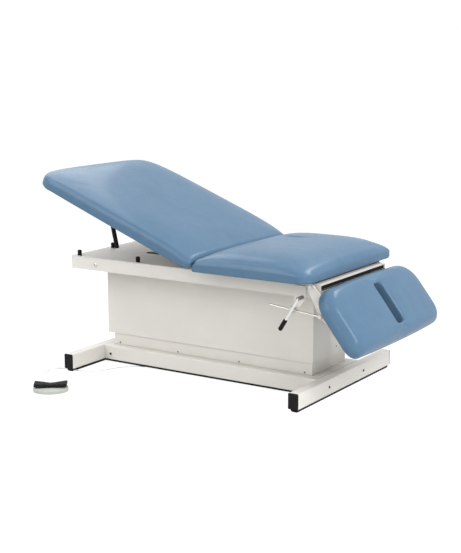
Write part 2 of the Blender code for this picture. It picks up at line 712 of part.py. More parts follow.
def back_brackets(top):
    """Two fixed hinge plates on the deck, each with its pin, inside pockets in the backrest's round end."""
    for name, side in (("near", -1), ("far", 1)):
        inner = HINGE_Y + PLATE_RUN / 2
        outer = inner + HINGE_PLATE_T
        foot = DECK_TOP + GAP
        corners = [(BACK_HINGE_X - HINGE_PLATE_HALF, foot), (BACK_HINGE_X + HINGE_PLATE_HALF, foot)]
        outline = hull(circle(BACK_HINGE, HINGE_BOSS_R, 24) + corners)
        plate = prism(outline, "Y", side * inner, side * outer)
        flange_y = sorted((side * inner, side * (inner + HINGE_FLANGE_W)))
        flange = box(BACK_HINGE_X - HINGE_FLANGE_HALF, BACK_HINGE_X + HINGE_FLANGE_HALF, *flange_y,
                     foot, foot + HINGE_FLANGE_T)
        pin_end = HINGE_Y - PLATE_RUN / 2 - HINGE_PLATE_T - PLATE_RUN
        pin = cylinder("Y", BACK_HINGE, side * pin_end, side * (inner + HINGE_PLATE_T / 2), HINGE_PIN_R)
        node(f"{name}_hinge_bracket", union(plate, flange, pin), "steel", top)


def backrest(pivot):
    """Backrest board, pad and hinge arms, drawn level with the hinge axis at the origin."""
    board_head = -BACK_REACH + BOARD_INSET
    board_foot = -BACK_BOARD_FOOT
    half = PAD_HALF - BOARD_INSET
    corner = BACK_CORNER - BOARD_INSET
    foot_corner = SEAT_HEAD_CORNER
    radii = [foot_corner, corner, corner, foot_corner]
    top = BACK_UNDER + BOARD_T
    board = prism(rounded_rectangle(board_head, board_foot, -half, half, radii), "Z", BACK_UNDER, top)
    node("backrest_board", board, "plywood", pivot)

    nose = BACK_PAD_T / 2
    pad = cushion(-BACK_REACH, nose, PAD_HALF, BACK_PAD_T, BACK_BOTTOM_ROUND,
                  [foot_corner, BACK_CORNER, BACK_CORNER, foot_corner], nose)
    lifted(pad, BACK_UNDER)
    grown = [radius + GAP for radius in radii]
    plan = rounded_rectangle(board_head - GAP, board_foot + GAP, -half - GAP, half + GAP, grown)
    pocket = prism(plan, "Z", BACK_UNDER - BOARD_T, top + GAP)
    cutters = [pocket]
    for side in (-1, 1):
        edges = sorted((side * (HINGE_Y - HINGE_POCKET_W / 2), side * (HINGE_Y + HINGE_POCKET_W / 2)))
        cutters.append(box(-HINGE_POCKET_HEAD, BACK_PAD_T, *edges, -BACK_PAD_T, HINGE_POCKET_TOP))
    node("backrest_pad", cut_out(pad, *cutters), "vinyl", pivot)

    bar_top = BACK_UNDER - GAP
    bar_low = bar_top - HINGE_ARM_H
    rise_head = -HINGE_POCKET_HEAD + PLATE_RUN
    boss = arc((0.0, 0.0), HINGE_BOSS_R, 150, -60, 10)
    outline = [(-HINGE_ARM_LENGTH, bar_low), (-HINGE_ARM_LENGTH, bar_top), (rise_head, bar_top)] + boss
    outline += [(rise_head + HINGE_BOSS_R, bar_low)]
    for name, side in (("near", -1), ("far", 1)):
        near_face = side * (HINGE_Y - PLATE_RUN / 2)
        arm = prism(outline, "Y", near_face - side * HINGE_PLATE_T, near_face)
        hole = cylinder("Y", (0.0, 0.0), -THROUGH, THROUGH, HINGE_PIN_R + PIN_FIT)
        node(f"{name}_hinge_arm", cut_out(arm, hole), "steel", pivot)


def line_turn(first, second):
    """Return the turn about Y that lays a piece, drawn along X, on the line between two pivots."""
    return math.atan2(second[1] - first[1], first[0] - second[0])


def turned(hinge, point, angle):
    """Place a point given in a level section's frame after the section turns about its hinge."""
    x, z = point
    along = x * math.cos(angle) + z * math.sin(angle)
    rise = z * math.cos(angle) - x * math.sin(angle)
    return (hinge[0] + along, hinge[1] + rise)


def gas_spring(top, back_pivot):
    """Lockable gas spring from the deck's hanger to the backrest's bracket, and its bent release handle."""
    low = (BACK_HINGE_X - GAS_ARM_LENGTH * math.cos(GAS_LOW_ANGLE),
           BACK_HINGE_Z - GAS_ARM_LENGTH * math.sin(GAS_LOW_ANGLE))
    along = math.sqrt(GAS_ARM_LENGTH ** 2 - GAS_PIVOT_DROP ** 2)
    high_local = (-along, -GAS_PIVOT_DROP)
    high = turned(BACK_HINGE, high_local, BACK_ANGLE)
    turn = line_turn(low, high)
    pin_end = GAS_Y + GAS_EYE_W / 2 + PLATE_RUN

    plate_back = GAS_PLATE_FACE - GAS_PLATE_T
    hung_from = [(low[0] - GAS_HANGER_HALF, DECK_UNDER - GAP), (low[0] + GAS_HANGER_HALF, DECK_UNDER - GAP)]
    hanger = hull(circle(low, GAS_HANGER_HALF, 24) + hung_from)
    pin = cylinder("Y", low, plate_back + GAS_PLATE_T / 2, pin_end, GAS_PIN_R)
    node("gas_spring_hanger", union(prism(hanger, "Y", plate_back, GAS_PLATE_FACE), pin), "steel", top)

    eye_span = (GAS_Y - GAS_EYE_W / 2, GAS_Y + GAS_EYE_W / 2)
    hole = GAS_PIN_R + PIN_FIT
    cylinder_pivot = empty("gas_cylinder_pivot", (low[0], 0.0, low[1]), turn)
    body = union(cylinder("X", (GAS_Y, 0.0), -GAS_CYLINDER_LENGTH, -GAS_EYE_R / 2, GAS_CYLINDER_R),
                 cylinder("Y", (0.0, 0.0), *eye_span, GAS_EYE_R))
    bore = cylinder("X", (GAS_Y, 0.0), -2 * GAS_CYLINDER_LENGTH, -GAS_BORE_START, GAS_BORE_R)
    body = cut_out(body, bore, cylinder("Y", (0.0, 0.0), -THROUGH, THROUGH, hole))
    node("gas_cylinder", body, "rubber", cylinder_pivot)

    rod_pivot = empty("gas_rod_pivot", (high[0], 0.0, high[1]), turn)
    rod = union(cylinder("X", (GAS_Y, 0.0), GAS_EYE_R / 2, GAS_ROD_LENGTH, GAS_ROD_R, 16),
                cylinder("Y", (0.0, 0.0), *eye_span, GAS_EYE_R))
    node("gas_rod", cut_out(rod, cylinder("Y", (0.0, 0.0), -THROUGH, THROUGH, hole)), "steel", rod_pivot)

    release(back_pivot, high_local, pin_end)


def release(back_pivot, high_local, pin_end):
    """Bracket under the board for the spring's top eye, and the bent rod that frees the spring."""
    under = BACK_UNDER - GAP
    shaft = (RELEASE_X, -RELEASE_DROP)
    web_head = RELEASE_X - RELEASE_BOSS_R * 2
    web_foot = high_local[0] + GAS_EYE_R * 2
    first_back = GAS_PLATE_FACE - GAS_PLATE_T
    second_back = first_back - RELEASE_PLATE_GAP - GAS_PLATE_T
    weld = under - SHEET / 2
    shaft_boss = circle(shaft, RELEASE_BOSS_R, 16) + [(web_head + SHEET, weld)]
    main = hull(shaft_boss + circle(high_local, GAS_EYE_R, 24) + [(web_foot - SHEET, weld)])
    helper = hull(shaft_boss + [(RELEASE_X + RELEASE_BOSS_R * 4, weld)])
    pin = cylinder("Y", high_local, first_back + GAS_PLATE_T / 2, pin_end, GAS_PIN_R)
    web = box(web_head, web_foot, second_back - SHEET, GAS_PLATE_FACE + SHEET, under - SHEET, under)
    bracket = union(prism(main, "Y", first_back, GAS_PLATE_FACE), web, pin,
                    prism(helper, "Y", second_back, second_back + GAS_PLATE_T))
    bracket = cut_out(bracket, cylinder("Y", shaft, -THROUGH, THROUGH, RELEASE_R + PIN_FIT))
    node("gas_spring_bracket", bracket, "steel", back_pivot)

    place = turned(BACK_HINGE, shaft, BACK_ANGLE)
    pivot = empty("release_pivot", (place[0], 0.0, place[1]), BACK_ANGLE)
    tip = Vector((RELEASE_ARM[0], RELEASE_END_Y, RELEASE_ARM[1]))
    elbow = Vector((0.0, RELEASE_END_Y, 0.0))
    path = bent_path([(RELEASE_FINGER, GAS_Y, 0.0), (0.0, GAS_Y, 0.0), elbow, tip], RELEASE_BEND)
    grip_start = tip + (elbow - tip).normalized() * RELEASE_GRIP_LENGTH
    beyond = tip + (tip - elbow).normalized() * RELEASE_R
    handle = union(sweep(path, RELEASE_R), sweep([grip_start, beyond], RELEASE_GRIP_R, 16))
    node("release_handle", handle, "rubber", pivot)


def drop_section(top, pivot):
    """Drop section's board, pad and arms, drawn level about the hinge axis, and the hinge rod."""
    board_x = (DROP_PAD_START + DROP_BOARD_INSET, DROP_PAD_END - BOARD_INSET)
    half = PAD_HALF - BOARD_INSET
    corner = DROP_CORNER - BOARD_INSET
    radii = [corner] * 4
    under = DROP_PAD_RISE
    slot_outline = rounded_rectangle(NOSE_SLOT_START, NOSE_SLOT_END, -NOSE_SLOT_W / 2, NOSE_SLOT_W / 2,
                                     [NOSE_SLOT_ROUND] * 4)
    board = prism(rounded_rectangle(*board_x, -half, half, radii), "Z", under, under + BOARD_T)
    node("drop_board", cut_out(board, prism(slot_outline, "Z", 0.0, THROUGH)), "plywood", pivot)

    pad = cushion(DROP_PAD_START, DROP_PAD_END, PAD_HALF, DROP_PAD_T, DROP_BOTTOM_ROUND, [DROP_CORNER] * 4,
                  crown=DROP_CROWN)
    lifted(pad, under)
    grown = [radius + GAP for radius in radii]
    plan = rounded_rectangle(board_x[0] - GAP, board_x[1] + GAP, -half - GAP, half + GAP, grown)
    pocket = prism(plan, "Z", 0.0, under + BOARD_T + GAP)
    node("drop_pad", cut_out(pad, pocket, prism(slot_outline, "Z", 0.0, THROUGH)), "vinyl", pivot)

    lug = (SUPPORT_ARM_LENGTH * math.cos(SUPPORT_LUG_ANGLE),
           -SUPPORT_ARM_LENGTH * math.sin(SUPPORT_LUG_ANGLE))
    seat_line = under - GAP
    edge = [(DROP_ARM_START, seat_line), (DROP_ARM_END, seat_line),
            (DROP_ARM_END, seat_line - DROP_ARM_TIP_H)]
    outline = hull(circle((0.0, 0.0), DROP_BOSS_R, 24) + circle(lug, SUPPORT_LUG_R, 24) + edge)
    for name, side in (("near", -1), ("far", 1)):
        arm = prism(outline, "Y", side * DROP_ARM_Y, side * DROP_ARM_OUTER)
        flange_y = sorted((side * DROP_ARM_OUTER, side * (DROP_ARM_OUTER - DROP_FLANGE_W)))
        flange = box(DROP_ARM_START, DROP_ARM_END, *flange_y, seat_line - DROP_FLANGE_T, seat_line)
        arm = union(arm, flange)
        rod_hole = cylinder("Y", (0.0, 0.0), -THROUGH, THROUGH, DROP_ROD_R + PIN_FIT)
        lug_hole = cylinder("Y", lug, -THROUGH, THROUGH, SUPPORT_PIN_R + PIN_FIT, 16)
        node(f"{name}_drop_arm", cut_out(arm, rod_hole, lug_hole), "enamel", pivot)

    end = DROP_ARM_OUTER + GAP
    shape = bmesh.new()
    stations = ((DROP_HEAD_R, -end - DROP_HEAD_T), (DROP_HEAD_R, -end), (DROP_ROD_R, -end),
                (DROP_ROD_R, end), (DROP_HEAD_R, end), (DROP_HEAD_R, end + DROP_HEAD_T))
    rings = [prism_ring(shape, circle(DROP_HINGE, radius, 24), "Y", along) for radius, along in stations]
    bridge_rings(shape, rings)
    shape.faces.new(rings[0])
    shape.faces.new(rings[-1])
    node("drop_hinge_rod", shape, "steel", top)


def drop_support(top):
    """Sliding rod from the drop section's lug through a swivel, clamped by a lever on the deck's side."""
    angle = DROP_ANGLE + SUPPORT_LUG_ANGLE
    lug = (DROP_HINGE_X + SUPPORT_ARM_LENGTH * math.cos(angle),
           DROP_HINGE_Z - SUPPORT_ARM_LENGTH * math.sin(angle))
    swivel = (DROP_HINGE_X - SUPPORT_ARM_LENGTH * math.cos(SWIVEL_ANGLE),
              DROP_HINGE_Z - SUPPORT_ARM_LENGTH * math.sin(SWIVEL_ANGLE))
    turn = line_turn(lug, swivel)
    plate_face = -DECK_HALF - GAP
    plate_outer = plate_face - CLAMP_PLATE_T

    top_edge = [(swivel[0], CLAMP_PLATE_TOP), (LEVER_HUB[0] + CLAMP_PLATE_R, CLAMP_PLATE_TOP)]
    outline = hull(circle(swivel, CLAMP_PLATE_R, 24) + circle(LEVER_HUB, CLAMP_PLATE_R, 24) + top_edge)
    plate = cut_out(prism(outline, "Y", plate_outer, plate_face),
                    cylinder("Y", swivel, -THROUGH, THROUGH, SWIVEL_PIN_R + PIN_FIT),
                    cylinder("Y", LEVER_HUB, -THROUGH, THROUGH, SWIVEL_PIN_R + PIN_FIT))
    node("clamp_plate", plate, "enamel", top)

    pin_end = plate_face - GAP
    length, width, height = SWIVEL_SIZE
    swivel_pivot = empty("swivel_pivot", (swivel[0], 0.0, swivel[1]), turn)
    block = bevelled(box(-length / 2, length / 2, -SWIVEL_FAR_Y, -SWIVEL_NEAR_Y, -height / 2, height / 2),
                     SWIVEL_EDGE, lambda edge: True)
    block = union(block, cylinder("Y", (0.0, 0.0), -SWIVEL_NEAR_Y - PLATE_RUN, pin_end, SWIVEL_PIN_R))
    block = cut_out(block, cylinder("X", (-SUPPORT_Y, 0.0), -THROUGH, THROUGH, SUPPORT_ROD_R + PIN_FIT, 16))
    node("clamp_swivel", block, "steel", swivel_pivot)

    rod_pivot = empty("support_rod_pivot", (lug[0], 0.0, lug[1]), turn)
    eye = cylinder("Y", (0.0, 0.0), -SUPPORT_Y - SUPPORT_EYE_W / 2, -DROP_ARM_OUTER - GAP, SUPPORT_EYE_R)
    pin = cylinder("Y", (0.0, 0.0), -SUPPORT_Y, -DROP_ARM_Y, SUPPORT_PIN_R, 16)
    bar = cylinder("X", (-SUPPORT_Y, 0.0), -SUPPORT_ROD_LENGTH, -SUPPORT_EYE_R / 2, SUPPORT_ROD_R, 16)
    node("support_rod", union(eye, bar, pin), "steel", rod_pivot)

    reach = Vector((LEVER_TIP[0] - LEVER_HUB[0], 0.0, LEVER_TIP[1] - LEVER_HUB[1]))
    lever_pivot = empty("lever_pivot", (LEVER_HUB[0], 0.0, LEVER_HUB[1]))
    centre = Vector((0.0, -LEVER_Y, 0.0))
    hub = cylinder("Y", (0.0, 0.0), -LEVER_Y - LEVER_BAR_R, plate_outer - GAP, LEVER_HUB_R)
    stem = cylinder("Y", (0.0, 0.0), plate_outer - PLATE_RUN, pin_end, SWIVEL_PIN_R)
    grip_start = centre + reach - reach.normalized() * LEVER_GRIP_LENGTH
    grip_end = centre + reach + reach.normalized() * LEVER_GRIP_END
    lever = union(hub, stem, sweep([centre, centre + reach], LEVER_BAR_R, 12),
                  sweep([grip_start, grip_end], LEVER_GRIP_R, 16))
    node("clamp_lever", lever, "steel", lever_pivot)


def pedal(place):
    """Foot switch: a low oval base with its cord relief, and a waisted rocker that tips either way."""
    body = bmesh.new()
    rings = []
    for inset, height in ((0.0, 0.0), (0.0, PEDAL_H - PEDAL_EDGE), (PEDAL_EDGE, PEDAL_H)):
        length = PEDAL_LENGTH / 2 - inset
        depth = PEDAL_DEPTH / 2 - inset
        oval = [(x * length, y * depth) for x, y in circle((0.0, 0.0), 1.0, PEDAL_SIDES)]
        rings.append(prism_ring(body, oval, "Z", height))
    bridge_rings(body, rings)
    body.faces.new(rings[0])
    body.faces.new(rings[-1])
    relief = cylinder("Y", (RELIEF_OFFSET, RELIEF_Z), RELIEF_EDGE - 2 * RELIEF_R,
                      RELIEF_EDGE + RELIEF_LENGTH, RELIEF_R, 16)
    node("pedal_base", union(body, relief), "plastic", place)

    axis_z = PEDAL_H + GAP + ROCKER_SADDLE_R
    rocker_pivot = empty("rocker_pivot", (PEDAL_X, PEDAL_Y, axis_z), PEDAL_TURN, "Z")
    shape = bmesh.new()
    rings = []
    for index in range(ROCKER_STATIONS + 1):
        share = 2 * index / ROCKER_STATIONS - 1
        x = share * ROCKER_LENGTH / 2
        half = ROCKER_HALF - ROCKER_WAIST * math.cos(share * math.pi / 2) ** 2
        low = -ROCKER_SADDLE_R + ROCKER_RISE * abs(share)
        high = low + ROCKER_T
        ring = [(-half, low), (half, low), (half - PEDAL_EDGE, high), (-half + PEDAL_EDGE, high)]
        rings.append([shape.verts.new((x, y, z)) for y, z in ring])
    bridge_rings(shape, rings)
    shape.faces.new(rings[0])
    shape.faces.new(rings[-1])
    node("pedal_rocker", shape, "rubber", rocker_pivot)


def smooth_route(points, steps):
    """Return points along a smooth curve through the route's own points."""
    ends = [2 * points[0] - points[1]] + points + [2 * points[-1] - points[-2]]
    route = []
    for p0, p1, p2, p3 in zip(ends, ends[1:], ends[2:], ends[3:]):
        for step in range(steps):
            t = step / steps
            route.append(0.5 * (2 * p1 + (p2 - p0) * t + (2 * p0 - 5 * p1 + 4 * p2 - p3) * t ** 2
                                + (3 * p1 - p0 - 3 * p2 + p3) * t ** 3))
    return route + [points[-1]]


def pedal_cord(base):
    """White cord from the pedal, round under the head crossbar and up into the gland."""
    rear = Vector((-math.sin(PEDAL_TURN), math.cos(PEDAL_TURN), 0.0))
    length_way = Vector((math.cos(PEDAL_TURN), math.sin(PEDAL_TURN), 0.0))
    centre = Vector((PEDAL_X, PEDAL_Y, 0.0))
    start = centre + length_way * RELIEF_OFFSET + rear * (RELIEF_EDGE + RELIEF_LENGTH + GAP)
    start.z = RELIEF_Z
    gland_end = Vector((GLAND_X, GLAND_Y, BAR_TOP - FLOOR_PLATE_T - 2 * GAP - GLAND_H))
    points = [start, start + rear * 4 * CORD_R]
    points += [Vector((x, y, CORD_R)) for x, y in CORD_FLOOR_POINTS]
    points += [gland_end - Vector((0.002, 0.012, 10 * CORD_R)), gland_end - Vector((0.0, 0.0, 4 * CORD_R))]
    points.append(gland_end)
    route = [Vector((p.x, p.y, max(p.z, CORD_R))) for p in smooth_route(points, 4)]

    curve = bpy.data.curves.new("pedal_cord", "CURVE")
    curve.dimensions = "3D"
    curve.bevel_depth = CORD_R
    curve.bevel_resolution = 2
    curve.use_fill_caps = True
    spline = curve.splines.new("POLY")
    spline.points.add(len(route) - 1)
    for point, place in zip(spline.points, route):
        point.co = (*place, 1.0)
    curve.materials.append(material("cord"))
    made = bpy.data.objects.new("pedal_cord", curve)
    made.parent = base
    bpy.context.scene.collection.objects.link(made)
    length = sum((b - a).length for a, b in zip(route, route[1:]))
    print(f"pedal cord: {length:.3f} m along {len(route)} points")


def centre_table(table):
    """Move the table so that its origin lies under the middle of its box, the cord left out."""
    bpy.context.view_layer.update()
    corners = []
    for made in bpy.data.objects:
        if made.type == "MESH":
            corners += [made.matrix_world @ vertex.co for vertex in made.data.vertices]
    for axis in (0, 1):
        values = [corner[axis] for corner in corners]
        table.location[axis] = -(min(values) + max(values)) / 2
    bpy.context.view_layer.update()
    print(f"middle of the base at {table.location.x:.6f}, {table.location.y:.6f}")


def main():
    for made in list(bpy.data.objects):
        bpy.data.objects.remove(made)
    table = empty("table", (0.0, 0.0, 0.0))
    base = empty("base", (0.0, 0.0, 0.0))
    top = empty("top", (0.0, 0.0, 0.0))
    back_pivot = empty("backrest_pivot", (BACK_HINGE_X, 0.0, BACK_HINGE_Z), BACK_ANGLE)
    drop_pivot = empty("drop_pivot", (DROP_HINGE_X, 0.0, DROP_HINGE_Z), DROP_ANGLE)
    pedal_place = empty("pedal", (PEDAL_X, PEDAL_Y, 0.0), PEDAL_TURN, "Z")
    base_frame(base)
    lift(base, top)
    deck(top)
    seat(top)
    back_brackets(top)
    backrest(back_pivot)
    gas_spring(top, back_pivot)
    drop_section(top, drop_pivot)
    drop_support(top)
    pedal(pedal_place)
    pedal_cord(base)
    centre_table(table)


main()
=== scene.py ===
"""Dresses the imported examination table: finishes, pads, fasteners, cord, light and camera.

Sizes are metres in the table's own frame: its origin is on the floor under the middle of the base, +X
points to the drop section and -Y to the pedal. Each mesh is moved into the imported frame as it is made.
"""

import logging
import math
from dataclasses import dataclass, field
from enum import Enum
from typing import Any, Iterable, Mapping, Optional, Sequence

import bmesh
import bpy
import numpy as np
from mathutils import Matrix, Vector


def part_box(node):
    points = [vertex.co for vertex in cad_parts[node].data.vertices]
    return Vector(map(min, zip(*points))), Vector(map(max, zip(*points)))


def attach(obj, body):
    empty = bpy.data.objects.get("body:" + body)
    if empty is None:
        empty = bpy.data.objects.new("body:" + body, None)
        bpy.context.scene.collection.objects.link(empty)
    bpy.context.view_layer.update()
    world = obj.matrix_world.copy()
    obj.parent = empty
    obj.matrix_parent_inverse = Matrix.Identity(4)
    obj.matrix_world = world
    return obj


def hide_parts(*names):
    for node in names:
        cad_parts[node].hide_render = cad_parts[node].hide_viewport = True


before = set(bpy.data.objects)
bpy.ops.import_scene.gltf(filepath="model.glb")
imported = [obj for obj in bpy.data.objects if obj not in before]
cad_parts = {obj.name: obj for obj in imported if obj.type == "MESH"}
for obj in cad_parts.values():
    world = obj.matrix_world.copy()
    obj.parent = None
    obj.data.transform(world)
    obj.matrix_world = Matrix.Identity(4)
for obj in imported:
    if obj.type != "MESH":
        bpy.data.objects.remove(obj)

LOG = logging.getLogger("examination_table")
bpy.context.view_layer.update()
GAP = 0.0003
SWELL_FRAMES = 20
COVER_CLOTH = {"quality": 6, "mass": 0.4, "tension_stiffness": 40.0, "compression_stiffness": 40.0,
               "shear_stiffness": 20.0, "bending_stiffness": 6.0, "vertex_group_mass": "held",
               "use_pressure": True, "uniform_pressure_force": 4.0}
WHITE = (1.0, 1.0, 1.0, 1.0)

Colour = tuple[float, float, float]
Point = tuple[float, float, float]
Plan = list[tuple[float, float]]


class Body(Enum):
    """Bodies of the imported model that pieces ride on."""

    BASE = "base"
    TOP = "top"
    BACKREST = "backrest"
    GAS_CYLINDER = "gas_cylinder"
    GAS_ROD = "gas_rod"
    RELEASE = "release_handle"
    DROP = "drop_section"
    SUPPORT_ROD = "support_rod"
    SWIVEL = "clamp_swivel"
    LEVER = "clamp_lever"
    ROCKER = "pedal_rocker"


class Repeat(Enum):
    """Shapes that Geometry Nodes set on points."""

    SCREW = "screw"
    RIB = "rib"


def base_middle() -> Vector:
    """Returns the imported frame's point on the floor under the middle of the base."""
    corners = [Vector(corner) for node in ("head_crossbar", "foot_crossbar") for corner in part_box(node)]
    middle = sum(corners, Vector()) / len(corners)
    middle.z = 0.0
    return middle


MIDDLE = base_middle()


def at(x: float, y: float, z: float) -> Vector:
    """Returns a point of the table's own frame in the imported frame."""
    return MIDDLE + Vector((x, y, z))


def pivot(x: float, z: float, turn: float) -> Matrix:
    """Returns the frame of a piece that is drawn level about an axis along Y.

    Args:
        x: Place of the axis along the table.
        z: Height of the axis.
        turn: Turn about the axis, in degrees.

    Returns:
        The matrix from the piece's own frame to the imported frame.
    """
    return Matrix.Translation(at(x, 0.0, z)) @ Matrix.Rotation(math.radians(turn), 4, "Y")


def fill(tree: bpy.types.NodeTree, node: bpy.types.Node, inputs: Mapping[str | int, Any]) -> None:
    """Fills a node's inputs.

    Args:
        tree: Tree that the node is in.
        node: Node to fill.
        inputs: What each input gets, by name or number: a socket to join, or a constant.
    """
    for name, value in inputs.items():
        if isinstance(value, bpy.types.NodeSocket):
            tree.links.new(value, node.inputs[name])
        else:
            node.inputs[name].default_value = value


def add_node(tree: bpy.types.NodeTree, kind: str, inputs: Optional[Mapping[str | int, Any]] = None,
             **settings: str) -> bpy.types.Node:
    """Adds a node to a tree.

    Args:
        tree: Tree to add to.
        kind: Type of the node.
        inputs: What its inputs get, as for fill.
        settings: The node's own settings.

    Returns:
        The new node.
    """
    node = tree.nodes.new(kind)
    for name, value in settings.items():
        setattr(node, name, value)
    fill(tree, node, inputs or {})
    return node


class Graph:
    """Node graph of one finish, with short ways to add and join its nodes."""

    def __init__(self, name: str) -> None:
        """Starts a material with only a shader and an output."""
        self.material = bpy.data.materials.new(name)
        self.material.use_nodes = True
        self.tree = self.material.node_tree
        self.tree.nodes.clear()
        self.shader = add_node(self.tree, "ShaderNodeBsdfPrincipled")
        add_node(self.tree, "ShaderNodeOutputMaterial", {"Surface": self.shader.outputs["BSDF"]})
        self.place = add_node(self.tree, "ShaderNodeTexCoord").outputs["Object"]

    def give(self, **inputs: Any) -> None:
        """Fills the shader's own inputs, with _ for a space in their names."""
        fill(self.tree, self.shader, {name.replace("_", " "): value for name, value in inputs.items()})

    def stretched(self, scale: Point) -> bpy.types.NodeSocket:
        """Returns object coordinates times a factor along each axis, for grain and streaks."""
        inputs = {"Scale": scale, "Vector": self.place}
        return add_node(self.tree, "ShaderNodeMapping", inputs).outputs["Vector"]

    def noise(self, scale: float, detail: float = 3.0, rough: float = 0.5,
              place: Optional[bpy.types.NodeSocket] = None) -> bpy.types.NodeSocket:
        """Returns a soft noise.

        Args:
            scale: Features per metre, about.
            detail: Octaves.
            rough: Weight of the finer octaves.
            place: Coordinates, or None for the piece's own.

        Returns:
            The noise's value socket.
        """
        inputs = {"Scale": scale, "Detail": detail, "Roughness": rough, "Vector": place or self.place}
        return add_node(self.tree, "ShaderNodeTexNoise", inputs).outputs["Fac"]

    def pebbles(self, scale: float) -> bpy.types.NodeSocket:
        """Returns the height of a pebbled grain with so many pebbles to the metre."""
        inputs = {"Scale": scale, "Smoothness": 0.6, "Vector": self.place}
        return add_node(self.tree, "ShaderNodeTexVoronoi", inputs, feature="SMOOTH_F1").outputs["Distance"]

    def between(self, value: bpy.types.NodeSocket, low: float, high: float) -> bpy.types.NodeSocket:
        """Returns a noise's middle range mapped to run from low to high."""
        inputs = {"From Min": 0.3, "From Max": 0.7, "To Min": low, "To Max": high, "Value": value}
        return add_node(self.tree, "ShaderNodeMapRange", inputs).outputs["Result"]

    def ramp(self, value: bpy.types.NodeSocket,
             *stops: tuple[float, Colour]) -> bpy.types.NodeSocket:
        """Returns a colour that follows a value.

        Args:
            value: Socket to follow.
            stops: Two places on the ramp with their colours.

        Returns:
            The colour socket.
        """
        node = add_node(self.tree, "ShaderNodeValToRGB", {"Fac": value})
        for mark, (where, colour) in zip(node.color_ramp.elements, stops):
            mark.position = where
            mark.color = (*colour, 1.0)
        return node.outputs["Color"]

    def bump(self, height: bpy.types.NodeSocket, depth: float, strength: float,
             under: Optional[bpy.types.NodeSocket] = None) -> bpy.types.NodeSocket:
        """Returns a normal raised by a height.

        Args:
            height: Socket of the relief, from 0 to 1.
            depth: Depth of the relief in metres.
            strength: Share of it that shows.
            under: Coarser relief below this one.

        Returns:
            The normal socket.
        """
        inputs = {"Distance": depth, "Strength": strength, "Height": height}
        if under:
            inputs["Normal"] = under
        return add_node(self.tree, "ShaderNodeBump", inputs).outputs["Normal"]


@dataclass(frozen=True)
class Finish:
    """A finish with the record's slot that it stands for."""

    name: str
    slot: str

    def dress(self, graph: Graph) -> None:
        """Adds the finish's nodes to a graph."""
        raise NotImplementedError

    def material(self) -> bpy.types.Material:
        """Returns the finish's material, made on its first use."""
        made = bpy.data.materials.get(self.name)
        if made is None:
            graph = Graph(self.name)
            self.dress(graph)
            made = graph.material
        return made


@dataclass(frozen=True)
class Vinyl(Finish):
    """Upholstery vinyl: cloudy colour, pebbled grain and a soft sheen."""

    deep: Colour = (0.081, 0.155, 0.245)
    pale: Colour = (0.092, 0.172, 0.264)

    def dress(self, graph: Graph) -> None:
        """Adds clouding, grain and the slow waves of foam under a stretched cover."""
        waves = graph.bump(graph.noise(11.0, 2.0), 0.0012, 0.10)
        grain = graph.bump(graph.pebbles(700.0), 0.00025, 0.30, waves)
        graph.give(Base_Color=graph.ramp(graph.noise(9.0, 4.0, 0.55), (0.32, self.deep), (0.68, self.pale)),
                   Roughness=graph.between(graph.noise(60.0, 3.0), 0.40, 0.48),
                   Normal=graph.bump(graph.noise(2600.0, 2.0), 0.00008, 0.25, grain),
                   Specular_IOR_Level=0.05, Coat_Weight=0.30, Coat_Roughness=0.20)


@dataclass(frozen=True)
class Enamel(Finish):
    """Baked enamel on sheet and tube, with a faint orange peel."""

    pale: Colour = (0.750, 0.728, 0.682)
    dull: Colour = (0.718, 0.697, 0.650)
    gloss: float = 0.34

    def dress(self, graph: Graph) -> None:
        """Adds the coat's slight unevenness and its peel."""
        peel = graph.bump(graph.noise(420.0, 2.0), 0.0002, 0.16)
        graph.give(Base_Color=graph.ramp(graph.noise(4.0, 4.0, 0.6), (0.35, self.dull), (0.65, self.pale)),
                   Roughness=graph.between(graph.noise(45.0, 4.0), self.gloss, self.gloss + 0.10),
                   Normal=graph.bump(graph.noise(1900.0, 2.0), 0.00006, 0.15, peel))


@dataclass(frozen=True)
class Moulding(Finish):
    """Moulded rubber or plastic with a spark-eroded grain."""

    deep: Colour = (0.006, 0.006, 0.006)
    pale: Colour = (0.013, 0.013, 0.013)
    rough: float = 0.55
    grain: float = 1500.0

    def dress(self, graph: Graph) -> None:
        """Adds scuffed tone and fine grain."""
        graph.give(Base_Color=graph.ramp(graph.noise(38.0, 5.0, 0.65), (0.35, self.deep), (0.7, self.pale)),
                   Roughness=graph.between(graph.noise(90.0, 3.0), self.rough, self.rough + 0.16),
                   Normal=graph.bump(graph.noise(self.grain, 3.0), 0.00012, 0.4), Specular_IOR_Level=0.14)


@dataclass(frozen=True)
class Plate(Finish):
    """Bright or dull metal plate, with streaks along the piece."""

    tone: Colour = (0.60, 0.61, 0.62)
    dark: Colour = (0.52, 0.53, 0.54)
    rough: float = 0.28
    streak: Point = (30.0, 30.0, 400.0)

    def dress(self, graph: Graph) -> None:
        """Adds streaked gloss and a faint unevenness of tone."""
        streaks = graph.noise(1.0, 4.0, 0.6, graph.stretched(self.streak))
        graph.give(Base_Color=graph.ramp(streaks, (0.3, self.dark), (0.7, self.tone)),
                   Roughness=graph.between(streaks, self.rough, self.rough + 0.12),
                   Normal=graph.bump(streaks, 0.00005, 0.2), Metallic=1.0)


@dataclass(frozen=True)
class Plywood(Finish):
    """Plywood with long grain across the table, its colour darkened as painted shade under the pads."""

    # grain tones, kept very dark as painted shade where the boards show under the pads
    early: Colour = (0.075, 0.058, 0.042)
    late: Colour = (0.040, 0.030, 0.022)

    def dress(self, graph: Graph) -> None:
        """Adds grain lines, pores and a dry surface."""
        grain = graph.noise(1.0, 5.0, 0.6, graph.stretched((60.0, 3.0, 260.0)))
        pores = graph.noise(1.0, 3.0, 0.5, graph.stretched((900.0, 40.0, 900.0)))
        graph.give(Base_Color=graph.ramp(grain, (0.3, self.late), (0.62, self.early)),
                   Roughness=graph.between(pores, 0.6, 0.75), Normal=graph.bump(pores, 0.0002, 0.3))


